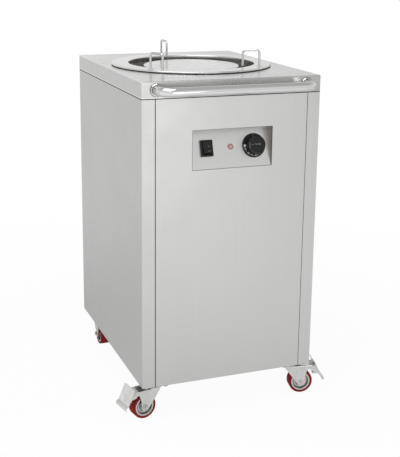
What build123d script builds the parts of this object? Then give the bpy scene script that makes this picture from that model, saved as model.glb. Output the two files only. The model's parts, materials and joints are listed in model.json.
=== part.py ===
"""Heated plate dispenser cart: a stainless cabinet on four swivel casters, with one sprung well.

Millimetres, +Z up, floor at Z = 0. The front of the cabinet faces -Y and its right side is +X.
The origin lies on the floor under the middle of the whole cart, handle and cable gland included.
"""

import os
from math import asin, atan2, cos, hypot, pi, radians, sin, tan

from build123d import *

os.makedirs("parts", exist_ok=True)

# ---------------------------------------------------------------- driving sizes
# Cabinet
cabinet_width = 486.0
cabinet_depth = 620.0
worktop_height = 900.0
caster_height = 96.0
sheet = 1.2
fold_radius = 2.0
cover_skirt = 42.0
seam_gap = 2.2
front_return = 35.0
rear_return = 24.0
return_hem = 14.0
front_panel_gap = 1.4
back_panel_inset = 3.0
joggle_overlap = 12.0
joggle_height = 22.0
joggle_clearance = 9.0
fold_clearance = 1.0
pan_sheet = 1.5
pan_flange = 25.0
backing_plate = 92.0
backing_thickness = 3.0

# Plate well, its raised flange ring and the platform
ring_inner_radius = 175.0
ring_outer_radius = 222.0
ring_rise = 6.0
ring_sheet = 1.5
ring_edge_radius = 1.7
ring_shadow_gap = 2.4
ring_lip_depth = 14.0
tube_wall = 1.2
tube_flange = 12.0
cover_hole_gap = 1.0
well_floor = 212.0
well_floor_thickness = 2.5
well_rim = 15.0
vent_hole_radius = 6.0
outer_vent_count = 24
inner_vent_count = 18
platform_radius = 133.0
platform_drop = 7.0
platform_sheet = 1.5
platform_edge = 8.0
platform_edge_radius = 2.7
carrier_arm_width = 30.0
carrier_arm_height = 12.0
carrier_post_radius = 38.0
carrier_post_height = 26.0
carrier_disc_radius = 90.0
carrier_disc_thickness = 2.0
carrier_tab_height = 22.0
carrier_tab_thickness = 2.5
runner_clearance = 0.5
runner_thickness = 9.0
runner_width = 34.0
runner_height = 30.0
arm_count = 3

# Lift spring
spring_wire = 6.5
spring_mean_radius = 56.5
spring_turns = 13
spring_seat_gap = 0.15
spring_side_gap = 0.8
spring_collar_depth = 18.0
guide_tube_height = 150.0
guide_tube_wall = 2.0

# Rod plate guides that swivel in bushes in the flange ring
guide_rod = 6.0
guide_span = 45.0
guide_height = 46.0
guide_bend = 8.0
guide_end_radius = 0.6
guide_foot_gap = 0.8
guide_pivot_radius = 202.0
guide_bush_radius = 6.0
guide_bush_collar = 8.0
guide_bush_collar_thickness = 1.2
guide_bush_length = 20.0
guide_clip_radius = 5.2
guide_clip_thickness = 1.2
running_clearance = 0.05
# name: (angle from the front, swing from the tangent towards the centre, swing direction)
guides = {
    "left_plate_guide": (-52.0, -12.0, 1),
    "right_plate_guide": (45.5, 66.0, -1),
    "rear_plate_guide": (-174.2, 86.0, 1),
}

# Push handle
handle_tube_radius = 12.0
handle_wall = 1.5
handle_standoff = 48.0
handle_side_inset = 39.0
handle_below_top = 21.5
handle_elbow = 30.0
handle_plug = 14.0
escutcheon_radius = 16.0
escutcheon_thickness = 3.0
handle_screw_radius = 4.0
handle_screw_head = 6.5
handle_screw_head_height = 5.0

# Control recess in the front panel
recess_width = 220.0
recess_height = 103.5
recess_top_below_worktop = 126.0
recess_tilt = 17.0
recess_flange = 9.0
control_spacing_left = 66.0
control_spacing_right = 65.0
switch_width = 33.0
switch_height = 43.0
switch_frame_rise = 7.0
switch_corner = 2.0
switch_taper = 4.0
switch_edge = 0.8
switch_cavity_depth = 11.0
switch_wall = 4.6
switch_body_width = 27.0
switch_body_height = 36.0
switch_body_depth = 24.0
rocker_rise = 12.5
rocker_dish = 2.5
rocker_tilt = 9.0
rocker_side_gap = 0.4
rocker_end_gap = 1.2
rocker_pin_radius = 1.5
rocker_pivot_rise = 3.0
rocker_root = 2.0
rocker_end_lean = 1.0
spade_width = 6.3
spade_thickness = 0.8
spade_length = 8.0
lamp_lens_radius = 6.9
lamp_bezel_radius = 8.6
lamp_bezel_rise = 2.0
lamp_bezel_chamfer = 0.6
lamp_lens_depth = 2.0
lamp_lens_rise = 2.0
lamp_lens_edge = 1.6
lamp_body_radius = 7.4
lamp_body_depth = 22.0
knob_skirt_radius = 31.5
knob_skirt_thickness = 4.0
knob_skirt_taper = 2.0
knob_grip_radius = 23.5
knob_grip_draft = 1.5
knob_height = 28.0
knob_gap = 0.8
knob_flat_depth = 2.6
knob_flat_length = 15.0
knob_edge = 1.6
knob_nut_recess_radius = 9.5
spindle_radius = 3.0
spindle_length = 22.0
spindle_seat = 4.0
spindle_hole_depth = 11.0
thermostat_bush_radius = 5.0
thermostat_bush_rise = 3.6
thermostat_nut = 7.5
thermostat_nut_thickness = 2.4
thermostat_body_width = 40.0
thermostat_body_height = 34.0
thermostat_body_depth = 26.0
thermostat_body_corner = 3.0

# Rear: cable gland, vents and screws
gland_side_inset = 78.0
gland_height = 150.0
gland_bore_radius = 4.5
gland_thread_radius = 8.0
gland_thread_length = 12.0
gland_hex_radius = 12.0
gland_hex_thickness = 6.0
gland_dome_radius = 10.5
gland_dome_length = 12.0
gland_dome_edge = 4.0
vent_slot_length = 60.0
vent_slot_width = 6.0
vent_slot_pitch_x = 90.0
vent_slot_pitch_z = 18.0
vent_columns = 4
vent_rows = 3
vent_low_height = 190.0
vent_high_height = 790.0
panel_screw_radius = 3.5
panel_screw_height = 2.2
panel_screw_rows = 4

# Heating element and its terminals
element_radius = 4.2
element_half_width = 92.0
element_bend = 36.0
element_lead_bend = 15.0
element_lead_spacing = 22.0
element_height = 150.0
element_lead_reach = 165.0
bracket_width = 14.0
bracket_thickness = 2.0
terminal_x = -90.0
terminal_length = 60.0
terminal_width = 22.0
terminal_height = 18.0
terminal_corner = 2.0
terminal_well_radius = 3.2
terminal_count = 4
leg_width = 40.0
leg_thickness = 2.5
leg_foot = 28.0
leg_radius = 142.0
leg_headings = (30.0, 150.0, 270.0)

# Casters
caster_inset = 42.0
wheel_radius = 33.5
tyre_width = 30.0
tyre_inner_radius = 26.5
tyre_shoulder = 3.0
hub_boss_radius = 9.5
hub_boss_width = 32.4
hub_web_width = 12.0
hub_rim_width = 27.0
hub_rim_inner_radius = 22.5
hub_ring_radius = 16.5
hub_ring_width = 3.0
hub_ring_rise = 3.0
caster_trail = 32.0
fork_width = 38.0
fork_sheet = 2.5
fork_front = 18.0
fork_bend_depth = 3.5
fork_eye_radius = 11.0
fork_bend = 2.6
fork_race_radius = 21.0
fork_race_rise = 1.6
race_gap = 0.4
race_cup_radius = 23.5
race_cup_depth = 9.5
race_cup_chamfer = 3.0
caster_plate_size = 76.0
caster_plate_thickness = 2.5
caster_plate_corner = 6.0
caster_bolt_spacing = 54.0
caster_bolt_radius = 4.0
caster_bolt_head = 7.0
caster_bolt_head_height = 5.0
kingpin_radius = 5.5
kingpin_head_radius = 9.0
kingpin_head_thickness = 3.2
part_gap = 0.3
axle_radius = 4.0
axle_head_radius = 7.0
axle_head_thickness = 5.0
axle_nut_thickness = 6.0
axle_thread_end = 1.0
front_steer = 11.0
# Fork cheek and the horn that carries the pedal, in the caster's own side view
cheek_throat_reach = 44.0
cheek_throat_height = 54.0
horn_root_reach = 50.0
horn_underside = 70.0
horn_chin_reach = 61.0
horn_toe_reach = 68.0
horn_toe_height = 64.0
horn_end_reach = 71.0
horn_end_height = 66.0
horn_shoulder_height = 77.0
horn_crest_height = 80.5
# Brake pedal, in the caster's own side view
pedal_pivot_reach = 64.0
pedal_pivot_height = 73.0
pedal_top_reach = 68.0
pedal_top_gap = 2.5
pedal_knee_reach = 87.0
pedal_knee_height = 52.0
pedal_lip_reach = 96.0
pedal_lip_height = 47.0
pedal_tip_reach = 93.0
pedal_tip_height = 40.0
pedal_lip_bend = 3.5
pedal_width = 56.0
pedal_sheet = 2.0
pedal_ear_gap = 0.4
pedal_ear_radius = 7.0
pedal_pin_radius = 2.5
pedal_pin_head = 4.2
pedal_pin_head_thickness = 1.5
pedal_ear_top_reach = 73.5
pedal_ear_top_height = 82.0
pedal_ear_low_reach = 83.0
pedal_ear_low_height = 61.0
brake_shoe_reach = 68.5
brake_shoe_length = 17.0
brake_shoe_height = 55.0
brake_shoe_thickness = 6.0
brake_shoe_width = 20.0

# ---------------------------------------------------------------- sizes worked out from these
ring_top = worktop_height + ring_rise
well_radius = ring_inner_radius + ring_sheet
tube_outer_radius = well_radius + tube_wall
tube_flange_top = worktop_height + tube_wall
cover_bottom = worktop_height - cover_skirt
panel_top = cover_bottom - seam_gap
platform_top = ring_top - platform_drop
handle_reach = handle_standoff + handle_tube_radius
gland_reach = gland_hex_thickness + gland_dome_length
cabinet_y = (handle_reach - gland_reach) / 2
front_y = cabinet_y - cabinet_depth / 2
rear_y = cabinet_y + cabinet_depth / 2
half_width = cabinet_width / 2
handle_height = worktop_height - handle_below_top
handle_half_span = half_width - handle_side_inset
gland_x = gland_side_inset - half_width
pan_top = caster_height + pan_sheet
hem_bottom = caster_height + pan_flange + fold_clearance
spring_base = well_floor + well_floor_thickness
carrier_disc_top = platform_top - platform_sheet
carrier_arm_top = carrier_disc_top - carrier_post_height
carrier_arm_bottom = carrier_arm_top - carrier_arm_height
spring_top = carrier_arm_bottom
guide_tube_radius = spring_mean_radius - spring_wire / 2 - spring_side_gap
recess_top = worktop_height - recess_top_below_worktop
recess_bottom = recess_top - recess_height
recess_depth = sheet + recess_height * tan(radians(recess_tilt))
front_panel_width = cabinet_width - 2 * front_return - 2 * front_panel_gap


def level(height):
    """Horizontal plane on the upright centre line of the cabinet."""
    return Plane((0, cabinet_y, height))


def front_face(x, height, depth=0.0):
    """Plane parallel to the front of the cabinet, a depth behind it, facing forwards."""
    return Plane((x, front_y + depth, height), x_dir=(1, 0, 0), z_dir=(0, -1, 0))


def rear_face(x, height, depth=0.0):
    """Plane parallel to the back of the cabinet, a depth inside it, facing backwards."""
    return Plane((x, rear_y - depth, height), x_dir=(-1, 0, 0), z_dir=(0, 1, 0))


def across(face):
    """Plane square to a face plane: its X points into the face, its Z along the face's X."""
    return Plane(face.origin, x_dir=-face.z_dir, z_dir=face.x_dir)


def guide_pivot(angle):
    """Point on the flange ring at an angle from the front, seen from above."""
    turn = radians(angle)
    return guide_pivot_radius * sin(turn), -guide_pivot_radius * cos(turn)


guide_pivots = [guide_pivot(angle) for angle, swing, turn in guides.values()]
corners = {
    "front_left": (-1, -1),
    "front_right": (1, -1),
    "rear_left": (-1, 1),
    "rear_right": (1, 1),
}
caster_spots = [
    (side * (half_width - caster_inset), end * (cabinet_depth / 2 - caster_inset))
    for side, end in corners.values()
]

# ---------------------------------------------------------------- cabinet shell
# The top cover is a folded tray turned upside down, with a round hole for the well.
with BuildPart() as top_cover:
    with BuildSketch(level(cover_bottom)):
        Rectangle(cabinet_width, cabinet_depth)
    extrude(amount=cover_skirt)
    fillet(top_cover.edges().filter_by(Axis.Z), fold_radius)
    fillet(top_cover.faces().sort_by(Axis.Z)[-1].edges(), fold_radius)
    offset(amount=-sheet, openings=top_cover.faces().sort_by(Axis.Z)[0])
    with BuildSketch(level(worktop_height)):
        Circle(tube_outer_radius + cover_hole_gap)
        with Locations(*guide_pivots):
            Circle(guide_bush_radius)
    extrude(amount=-2 * sheet, mode=Mode.SUBTRACT)
    with BuildSketch(front_face(0, handle_height)):
        with Locations((-handle_half_span, 0), (handle_half_span, 0)):
            Circle(handle_screw_radius)
    extrude(amount=-2 * sheet, mode=Mode.SUBTRACT)
top_cover.part.label = "top_cover"
export_step(top_cover.part, "parts/top_cover.step")


def side_outline(hand, inset, front_width, rear_width):
    """Plan of a side panel, its front and rear returns and their hems, set in by an inset."""
    outer_x = hand * (half_width - inset)
    front_edge = -cabinet_depth / 2 + inset
    rear_edge = cabinet_depth / 2 - sheet - inset
    wall_middle = (front_edge + rear_edge) / 2
    with Locations((outer_x - hand * sheet / 2, wall_middle)):
        Rectangle(sheet, rear_edge - front_edge)
    with Locations((outer_x - hand * front_width / 2, front_edge + sheet / 2)):
        Rectangle(front_width, sheet)
    with Locations((outer_x - hand * rear_width / 2, rear_edge - sheet / 2)):
        Rectangle(rear_width, sheet)
    return outer_x, front_edge, rear_edge


def side_panel(hand):
    """Folded side panel that wraps round both corners, with a joggled top behind the skirt."""
    with BuildPart() as panel:
        with BuildSketch(level(caster_height)) as plan:
            outer_x, front_edge, rear_edge = side_outline(hand, 0, front_return, rear_return)
            fillet(plan.vertices().group_by(Axis.X)[0 if hand < 0 else -1], fold_radius)
        extrude(amount=panel_top - caster_height)
        with BuildSketch(level(hem_bottom)):
            with Locations((outer_x - hand * (front_return - sheet / 2), front_edge + return_hem / 2)):
                Rectangle(sheet, return_hem)
        extrude(amount=panel_top - hem_bottom)
        with BuildSketch(level(panel_top - joggle_overlap)) as joggle:
            side_outline(hand, sheet, front_return - joggle_clearance, rear_return - 2 * sheet)
            fillet(joggle.vertices().group_by(Axis.X)[0 if hand < 0 else -1], fold_radius - sheet)
        extrude(amount=joggle_overlap + seam_gap + joggle_height)
    return panel


left_side_panel = side_panel(-1)
left_side_panel.part.label = "left_side_panel"
export_step(left_side_panel.part, "parts/left_side_panel.step")

right_side_panel = side_panel(1)
right_side_panel.part.label = "right_side_panel"
export_step(right_side_panel.part, "parts/right_side_panel.step")

# The front panel lies flush between the returns, with folded edges and the recess cut-out.
with BuildPart() as front_panel:
    with BuildSketch(front_face(0, caster_height)):
        with Locations((0, (panel_top - caster_height) / 2)):
            Rectangle(front_panel_width, panel_top - caster_height)
    extrude(amount=-sheet)
    with BuildSketch(level(hem_bottom)):
        with Locations((0, -cabinet_depth / 2 + return_hem / 2)):
            Rectangle(front_panel_width, return_hem)
            Rectangle(front_panel_width - 2 * sheet, return_hem, mode=Mode.SUBTRACT)
    extrude(amount=panel_top - hem_bottom)
    with BuildSketch(front_face(0, panel_top - joggle_overlap, sheet)):
        with Locations((0, (joggle_overlap + seam_gap + joggle_height) / 2)):
            Rectangle(front_panel_width - 2 * return_hem, joggle_overlap + seam_gap + joggle_height)
    extrude(amount=-sheet)
    with BuildSketch(front_face(0, recess_bottom)):
        with Locations((0, recess_height / 2)):
            Rectangle(recess_width, recess_height)
    extrude(amount=-sheet, mode=Mode.SUBTRACT)
front_panel.part.label = "front_panel"
export_step(front_panel.part, "parts/front_panel.step")

# The back panel screws onto the rear returns and carries the vents and the cable gland.
back_panel_width = cabinet_width - 2 * back_panel_inset
back_joggle_width = cabinet_width - 2 * rear_return - 2 * fold_clearance
with BuildPart() as back_panel:
    with BuildSketch(rear_face(0, caster_height)):
        with Locations((0, (panel_top - caster_height) / 2)):
            Rectangle(back_panel_width, panel_top - caster_height)
        for vent_height in (vent_low_height, vent_high_height):
            with Locations((0, vent_height - caster_height)):
                with GridLocations(vent_slot_pitch_x, vent_slot_pitch_z, vent_columns, vent_rows):
                    SlotOverall(vent_slot_length, vent_slot_width, mode=Mode.SUBTRACT)
        with Locations((-gland_x, gland_height - caster_height)):
            Circle(gland_thread_radius, mode=Mode.SUBTRACT)
    extrude(amount=-sheet)
    with BuildSketch(rear_face(0, panel_top - joggle_overlap, sheet)):
        with Locations((0, (joggle_overlap + seam_gap + joggle_height) / 2)):
            Rectangle(back_joggle_width, joggle_overlap + seam_gap + joggle_height)
    extrude(amount=-sheet)
back_panel.part.label = "back_panel"
export_step(back_panel.part, "parts/back_panel.step")

# The base pan carries everything: a floor with four upturned flanges and openings for air.
with BuildPart() as base_pan:
    pan_width = cabinet_width - 2 * sheet
    pan_depth = cabinet_depth - 3 * sheet
    with BuildSketch(level(caster_height)):
        with Locations((0, -sheet / 2)):
            Rectangle(pan_width, pan_depth)
    extrude(amount=pan_flange)
    with BuildSketch(level(pan_top)):
        with Locations((0, -sheet / 2)):
            Rectangle(pan_width - 2 * pan_sheet, pan_depth - 2 * pan_sheet)
    extrude(amount=pan_flange, mode=Mode.SUBTRACT)
    with BuildSketch(level(caster_height)):
        with GridLocations(vent_slot_pitch_x, vent_slot_pitch_z, 2, vent_rows):
            SlotOverall(vent_slot_length, vent_slot_width)
        for spot in caster_spots:
            with Locations(spot):
                with GridLocations(caster_bolt_spacing, caster_bolt_spacing, 2, 2):
                    Circle(caster_bolt_radius)
    extrude(amount=pan_sheet, mode=Mode.SUBTRACT)
base_pan.part.label = "base_pan"
export_step(base_pan.part, "parts/base_pan.step")

# Thick plates spread the load of each caster over the thin floor of the pan.
backing_margin = 2 * sheet + pan_sheet + fold_clearance
with BuildPart() as caster_backing_plates:
    with BuildSketch(level(pan_top)):
        for (x, y), (side, end) in zip(caster_spots, corners.values()):
            inset = backing_margin + backing_plate / 2
            with Locations((side * (half_width - inset), end * (cabinet_depth / 2 - inset))):
                RectangleRounded(backing_plate, backing_plate, 2 * backing_thickness)
            with Locations((x, y)):
                with GridLocations(caster_bolt_spacing, caster_bolt_spacing, 2, 2):
                    Circle(caster_bolt_radius, mode=Mode.SUBTRACT)
    extrude(amount=backing_thickness)
caster_backing_plates.part.label = "caster_backing_plates"
export_step(caster_backing_plates.part, "parts/caster_backing_plates.step")

# ---------------------------------------------------------------- control recess and controls
recess_start = (front_y + sheet, recess_bottom)
recess_end = (front_y + recess_depth, recess_top)
recess_corner = (front_y + sheet, recess_top)
plate_middle = ((recess_start[0] + recess_end[0]) / 2, (recess_start[1] + recess_end[1]) / 2)
plate_length = hypot(recess_end[0] - recess_start[0], recess_height)
plate_normal = (0, -recess_height / plate_length, (recess_depth - sheet) / plate_length)
outward = Axis(origin=(0, 0, 0), direction=plate_normal)


def on_plate(x, rise=0.0):
    """Plane on the sloping control plate, a rise proud of it, facing out of the recess."""
    middle = Vector(x, *plate_middle) + Vector(*plate_normal) * rise
    return Plane(middle, x_dir=(1, 0, 0), z_dir=plate_normal)


with BuildPart() as control_recess:
    with BuildSketch(Plane.YZ):
        with BuildLine():
            Polyline(recess_start, recess_end, recess_corner, close=True)
        make_face()
        offset(amount=sheet, kind=Kind.INTERSECTION)
    extrude(amount=recess_width / 2 + sheet, both=True)
    split(bisect_by=front_face(0, 0, sheet), keep=Keep.BOTTOM)
    with BuildSketch(front_face(0, recess_bottom + recess_height / 2, sheet)):
        Rectangle(recess_width + 2 * recess_flange, recess_height + 2 * recess_flange)
    extrude(amount=-sheet)
    with BuildSketch(Plane.YZ):
        with BuildLine():
            Polyline(recess_start, recess_end, recess_corner, close=True)
        make_face()
    extrude(amount=recess_width / 2, both=True, mode=Mode.SUBTRACT)
    with BuildSketch(on_plate(-control_spacing_left)):
        Rectangle(switch_body_width, switch_body_height)
    extrude(amount=-3 * sheet, mode=Mode.SUBTRACT)
    with BuildSketch(on_plate(0)):
        Circle(lamp_body_radius)
        with Locations((control_spacing_right, 0)):
            Circle(thermostat_bush_radius)
    extrude(amount=-3 * sheet, mode=Mode.SUBTRACT)
control_recess.part.label = "control_recess"
export_step(control_recess.part, "parts/control_recess.step")

# The switch body snaps in from the front; its raised frame carries the rocker on two pins.
switch_x = -control_spacing_left
rocker_width = switch_width - 2 * switch_wall
rocker_length = switch_height - 2 * switch_wall
with BuildPart() as switch_housing:
    with BuildSketch(on_plate(switch_x)):
        RectangleRounded(switch_width, switch_height, switch_corner)
    extrude(amount=switch_frame_rise, taper=switch_taper)
    fillet(switch_housing.faces().sort_by(outward)[-1].edges(), switch_edge)
    with BuildSketch(on_plate(switch_x)):
        Rectangle(switch_body_width, switch_body_height)
    extrude(amount=-switch_body_depth)
    with BuildSketch(on_plate(switch_x, switch_frame_rise)):
        Rectangle(rocker_width, rocker_length)
    extrude(amount=-switch_cavity_depth, mode=Mode.SUBTRACT)
    with BuildSketch(across(on_plate(switch_x, rocker_pivot_rise))):
        Circle(rocker_pin_radius + running_clearance)
    extrude(amount=rocker_width / 2 + switch_wall / 2, both=True, mode=Mode.SUBTRACT)
    with BuildSketch(on_plate(switch_x, -switch_body_depth)):
        with GridLocations(0, switch_body_height / 3, 1, 3):
            Rectangle(spade_width, spade_thickness)
    extrude(amount=-spade_length)
switch_housing.part.label = "switch_housing"
export_step(switch_housing.part, "parts/switch_housing.step")

level_side = across(on_plate(switch_x, rocker_pivot_rise))
pressed = level_side.x_dir.rotate(Axis.X, -rocker_tilt)
rocker_side = Plane(level_side.origin, x_dir=pressed, z_dir=level_side.z_dir)
with BuildPart() as switch_rocker:
    half_length = rocker_length / 2 - rocker_end_gap
    rise = rocker_rise - rocker_pivot_rise
    with BuildSketch(rocker_side):
        with BuildLine():
            Polyline(
                (rocker_root, -half_length),
                (-rise, -half_length + rocker_end_lean),
                (-rise + rocker_dish, 0),
                (-rise, half_length - rocker_end_lean),
                (rocker_root, half_length),
                close=True,
            )
        make_face()
    extrude(amount=rocker_width / 2 - rocker_side_gap, both=True)
    with BuildSketch(rocker_side):
        Circle(rocker_pin_radius)
    extrude(amount=rocker_width / 2 + switch_wall / 2 - rocker_side_gap, both=True)
switch_rocker.part.label = "switch_rocker"
export_step(switch_rocker.part, "parts/switch_rocker.step")

with BuildPart() as pilot_lamp_bezel:
    with BuildSketch(on_plate(0)):
        Circle(lamp_bezel_radius)
    extrude(amount=lamp_bezel_rise)
    chamfer(pilot_lamp_bezel.edges().sort_by(outward)[-1], lamp_bezel_chamfer)
    with BuildSketch(on_plate(0)):
        Circle(lamp_body_radius)
    extrude(amount=-lamp_body_depth)
    with BuildSketch(on_plate(0, lamp_bezel_rise)):
        Circle(lamp_lens_radius)
    extrude(amount=-lamp_bezel_rise - lamp_lens_depth, mode=Mode.SUBTRACT)
pilot_lamp_bezel.part.label = "pilot_lamp_bezel"
export_step(pilot_lamp_bezel.part, "parts/pilot_lamp_bezel.step")

with BuildPart() as pilot_lamp_lens:
    with BuildSketch(on_plate(0, -lamp_lens_depth)):
        Circle(lamp_lens_radius)
    extrude(amount=lamp_lens_depth + lamp_bezel_rise + lamp_lens_rise)
    fillet(pilot_lamp_lens.edges().sort_by(outward)[-1], lamp_lens_edge)
pilot_lamp_lens.part.label = "pilot_lamp_lens"
export_step(pilot_lamp_lens.part, "parts/pilot_lamp_lens.step")

knob_x = control_spacing_right
with BuildPart() as thermostat_body:
    with BuildSketch(on_plate(knob_x, -sheet)):
        RectangleRounded(thermostat_body_width, thermostat_body_height, thermostat_body_corner)
    extrude(amount=-thermostat_body_depth)
    with BuildSketch(on_plate(knob_x, -sheet)):
        Circle(thermostat_bush_radius)
    extrude(amount=sheet + thermostat_bush_rise)
    with BuildSketch(on_plate(knob_x)):
        RegularPolygon(thermostat_nut, 6)
    extrude(amount=thermostat_nut_thickness)
    with BuildSketch(on_plate(knob_x, -sheet - thermostat_body_depth)):
        with GridLocations(thermostat_body_width / 2, 0, 2, 1):
            Rectangle(spade_thickness, spade_width)
    extrude(amount=-spade_length)
    with BuildSketch(on_plate(knob_x, thermostat_bush_rise)):
        Circle(spindle_radius + running_clearance)
    extrude(amount=-spindle_hole_depth, mode=Mode.SUBTRACT)
thermostat_body.part.label = "thermostat_body"
export_step(thermostat_body.part, "parts/thermostat_body.step")

with BuildPart() as thermostat_spindle:
    with BuildSketch(on_plate(knob_x, -spindle_seat)):
        Circle(spindle_radius)
    extrude(amount=spindle_length)
thermostat_spindle.part.label = "thermostat_spindle"
export_step(thermostat_spindle.part, "parts/thermostat_spindle.step")

with BuildPart() as thermostat_knob:
    with BuildSketch(on_plate(knob_x, knob_gap)):
        Circle(knob_skirt_radius)
    extrude(amount=knob_skirt_thickness)
    chamfer(thermostat_knob.edges().sort_by(outward)[-1], knob_skirt_taper)
    with BuildSketch(on_plate(knob_x, knob_gap + knob_skirt_thickness)):
        Circle(knob_grip_radius)
    with BuildSketch(on_plate(knob_x, knob_height)):
        Circle(knob_grip_radius - knob_grip_draft)
    loft()
    fillet(thermostat_knob.edges().sort_by(outward)[-1], knob_edge)
    with BuildSketch(on_plate(knob_x, knob_height)):
        with Locations((-knob_grip_radius, 0)):
            Rectangle(2 * (knob_grip_draft + knob_flat_depth), 3 * knob_grip_radius)
    extrude(amount=-knob_flat_length, mode=Mode.SUBTRACT)
    with BuildSketch(on_plate(knob_x, knob_gap)):
        Circle(knob_nut_recess_radius)
    extrude(amount=thermostat_bush_rise, mode=Mode.SUBTRACT)
    with BuildSketch(on_plate(knob_x, knob_gap)):
        Circle(spindle_radius)
    extrude(amount=spindle_length - spindle_seat - knob_gap, mode=Mode.SUBTRACT)
thermostat_knob.part.label = "thermostat_knob"
export_step(thermostat_knob.part, "parts/thermostat_knob.step")

# ---------------------------------------------------------------- push handle
handle_level = Plane((0, front_y, handle_height))
with BuildPart() as handle_tube:
    with BuildLine(handle_level):
        FilletPolyline(
            (-handle_half_span, 0),
            (-handle_half_span, -handle_standoff),
            (handle_half_span, -handle_standoff),
            (handle_half_span, 0),
            radius=handle_elbow,
        )
    with BuildSketch(front_face(-handle_half_span, handle_height)):
        Circle(handle_tube_radius)
        Circle(handle_tube_radius - handle_wall, mode=Mode.SUBTRACT)
    sweep()
    for side in (-1, 1):
        with BuildSketch(front_face(side * handle_half_span, handle_height)):
            Circle(handle_tube_radius - handle_wall)
            Circle(handle_screw_radius, mode=Mode.SUBTRACT)
        extrude(amount=handle_plug)
    # Two bent ends are butt-welded to the straight grip.
    for side in (-1, 1):
        split(bisect_by=Plane.YZ.offset(side * (handle_half_span - handle_elbow)), keep=Keep.BOTH)
handle_tube.part.label = "handle_tube"
export_step(handle_tube.part, "parts/handle_tube.step")

with BuildPart() as handle_escutcheons:
    for side in (-1, 1):
        with BuildSketch(front_face(side * handle_half_span, handle_height)):
            Circle(escutcheon_radius)
            Circle(handle_tube_radius, mode=Mode.SUBTRACT)
        extrude(amount=escutcheon_thickness)
    chamfer(
        handle_escutcheons.edges().filter_by(GeomType.CIRCLE).group_by(SortBy.RADIUS)[-1].group_by(Axis.Y)[0],
        escutcheon_thickness / 2,
    )
handle_escutcheons.part.label = "handle_escutcheons"
export_step(handle_escutcheons.part, "parts/handle_escutcheons.step")

with BuildPart() as handle_screws:
    for side in (-1, 1):
        with BuildSketch(front_face(side * handle_half_span, handle_height, sheet)):
            RegularPolygon(handle_screw_head, 6)
        extrude(amount=-handle_screw_head_height)
        with BuildSketch(front_face(side * handle_half_span, handle_height, sheet)):
            Circle(handle_screw_radius)
        extrude(amount=sheet + handle_plug)
handle_screws.part.label = "handle_screws"
export_step(handle_screws.part, "parts/handle_screws.step")

# ---------------------------------------------------------------- plate well
with BuildPart() as flange_ring:
    with BuildSketch(Plane.XZ.offset(-cabinet_y)) as ring_profile:
        with BuildLine():
            Polyline(
                (ring_inner_radius, ring_top - ring_lip_depth),
                (ring_inner_radius, ring_top),
                (ring_outer_radius, ring_top),
                (ring_outer_radius, worktop_height + ring_shadow_gap),
                (ring_outer_radius - ring_sheet, worktop_height + ring_shadow_gap),
                (ring_outer_radius - ring_sheet, ring_top - ring_sheet),
                (well_radius, ring_top - ring_sheet),
                (well_radius, ring_top - ring_lip_depth),
                close=True,
            )
        make_face()
        top_corners = ring_profile.vertices().group_by(Axis.Y)[-1]
        fillet(top_corners, ring_edge_radius)
    revolve(axis=Axis((0, cabinet_y, 0), (0, 0, 1)))
    with BuildSketch(level(ring_top)):
        with Locations(*guide_pivots):
            Circle(guide_bush_radius)
    extrude(amount=-2 * ring_sheet, mode=Mode.SUBTRACT)
flange_ring.part.label = "flange_ring"
export_step(flange_ring.part, "parts/flange_ring.step")

# The tube hangs from its flange on the cover; the ring's lip is welded inside its mouth.
with BuildPart() as plate_tube:
    with BuildSketch(level(spring_base)):
        Circle(tube_outer_radius)
        Circle(well_radius, mode=Mode.SUBTRACT)
    extrude(amount=tube_flange_top - spring_base)
    with BuildSketch(level(worktop_height)):
        Circle(tube_outer_radius + tube_flange)
        Circle(tube_outer_radius, mode=Mode.SUBTRACT)
        with Locations(*guide_pivots):
            Circle(guide_bush_radius, mode=Mode.SUBTRACT)
    extrude(amount=tube_wall)
plate_tube.part.label = "plate_tube"
export_step(plate_tube.part, "parts/plate_tube.step")

with BuildPart() as well_base:
    with BuildSketch(level(well_floor)):
        Circle(tube_outer_radius + tube_wall)
        with PolarLocations(well_radius - 4 * vent_hole_radius, outer_vent_count):
            Circle(vent_hole_radius, mode=Mode.SUBTRACT)
        with PolarLocations(well_radius - 8 * vent_hole_radius, inner_vent_count):
            Circle(vent_hole_radius, mode=Mode.SUBTRACT)
    extrude(amount=well_floor_thickness)
    with BuildSketch(level(spring_base)):
        Circle(tube_outer_radius + tube_wall)
        Circle(tube_outer_radius, mode=Mode.SUBTRACT)
    extrude(amount=well_rim)
well_base.part.label = "well_base"
export_step(well_base.part, "parts/well_base.step")

with BuildPart() as well_legs:
    for turn in leg_headings:
        radial = (cos(radians(turn)), sin(radians(turn)), 0)
        across_leg = (sin(radians(turn)), -cos(radians(turn)), 0)
        with BuildSketch(Plane((0, cabinet_y, pan_top), x_dir=radial, z_dir=across_leg)):
            with BuildLine():
                Polyline(
                    (leg_radius + leg_foot, 0),
                    (leg_radius, 0),
                    (leg_radius, well_floor - pan_top - leg_thickness),
                    (leg_radius - leg_foot, well_floor - pan_top - leg_thickness),
                    (leg_radius - leg_foot, well_floor - pan_top),
                    (leg_radius + leg_thickness, well_floor - pan_top),
                    (leg_radius + leg_thickness, leg_thickness),
                    (leg_radius + leg_foot, leg_thickness),
                    close=True,
                )
            make_face()
        extrude(amount=leg_width / 2, both=True)
well_legs.part.label = "well_legs"
export_step(well_legs.part, "parts/well_legs.step")

with BuildPart() as spring_guide_tube:
    with BuildSketch(level(spring_base)):
        Circle(guide_tube_radius)
        Circle(guide_tube_radius - guide_tube_wall, mode=Mode.SUBTRACT)
    extrude(amount=guide_tube_height)
    chamfer(spring_guide_tube.faces().sort_by(Axis.Z)[-1].outer_wire().edges(), guide_tube_wall / 2)
spring_guide_tube.part.label = "spring_guide_tube"
export_step(spring_guide_tube.part, "parts/spring_guide_tube.step")

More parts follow.
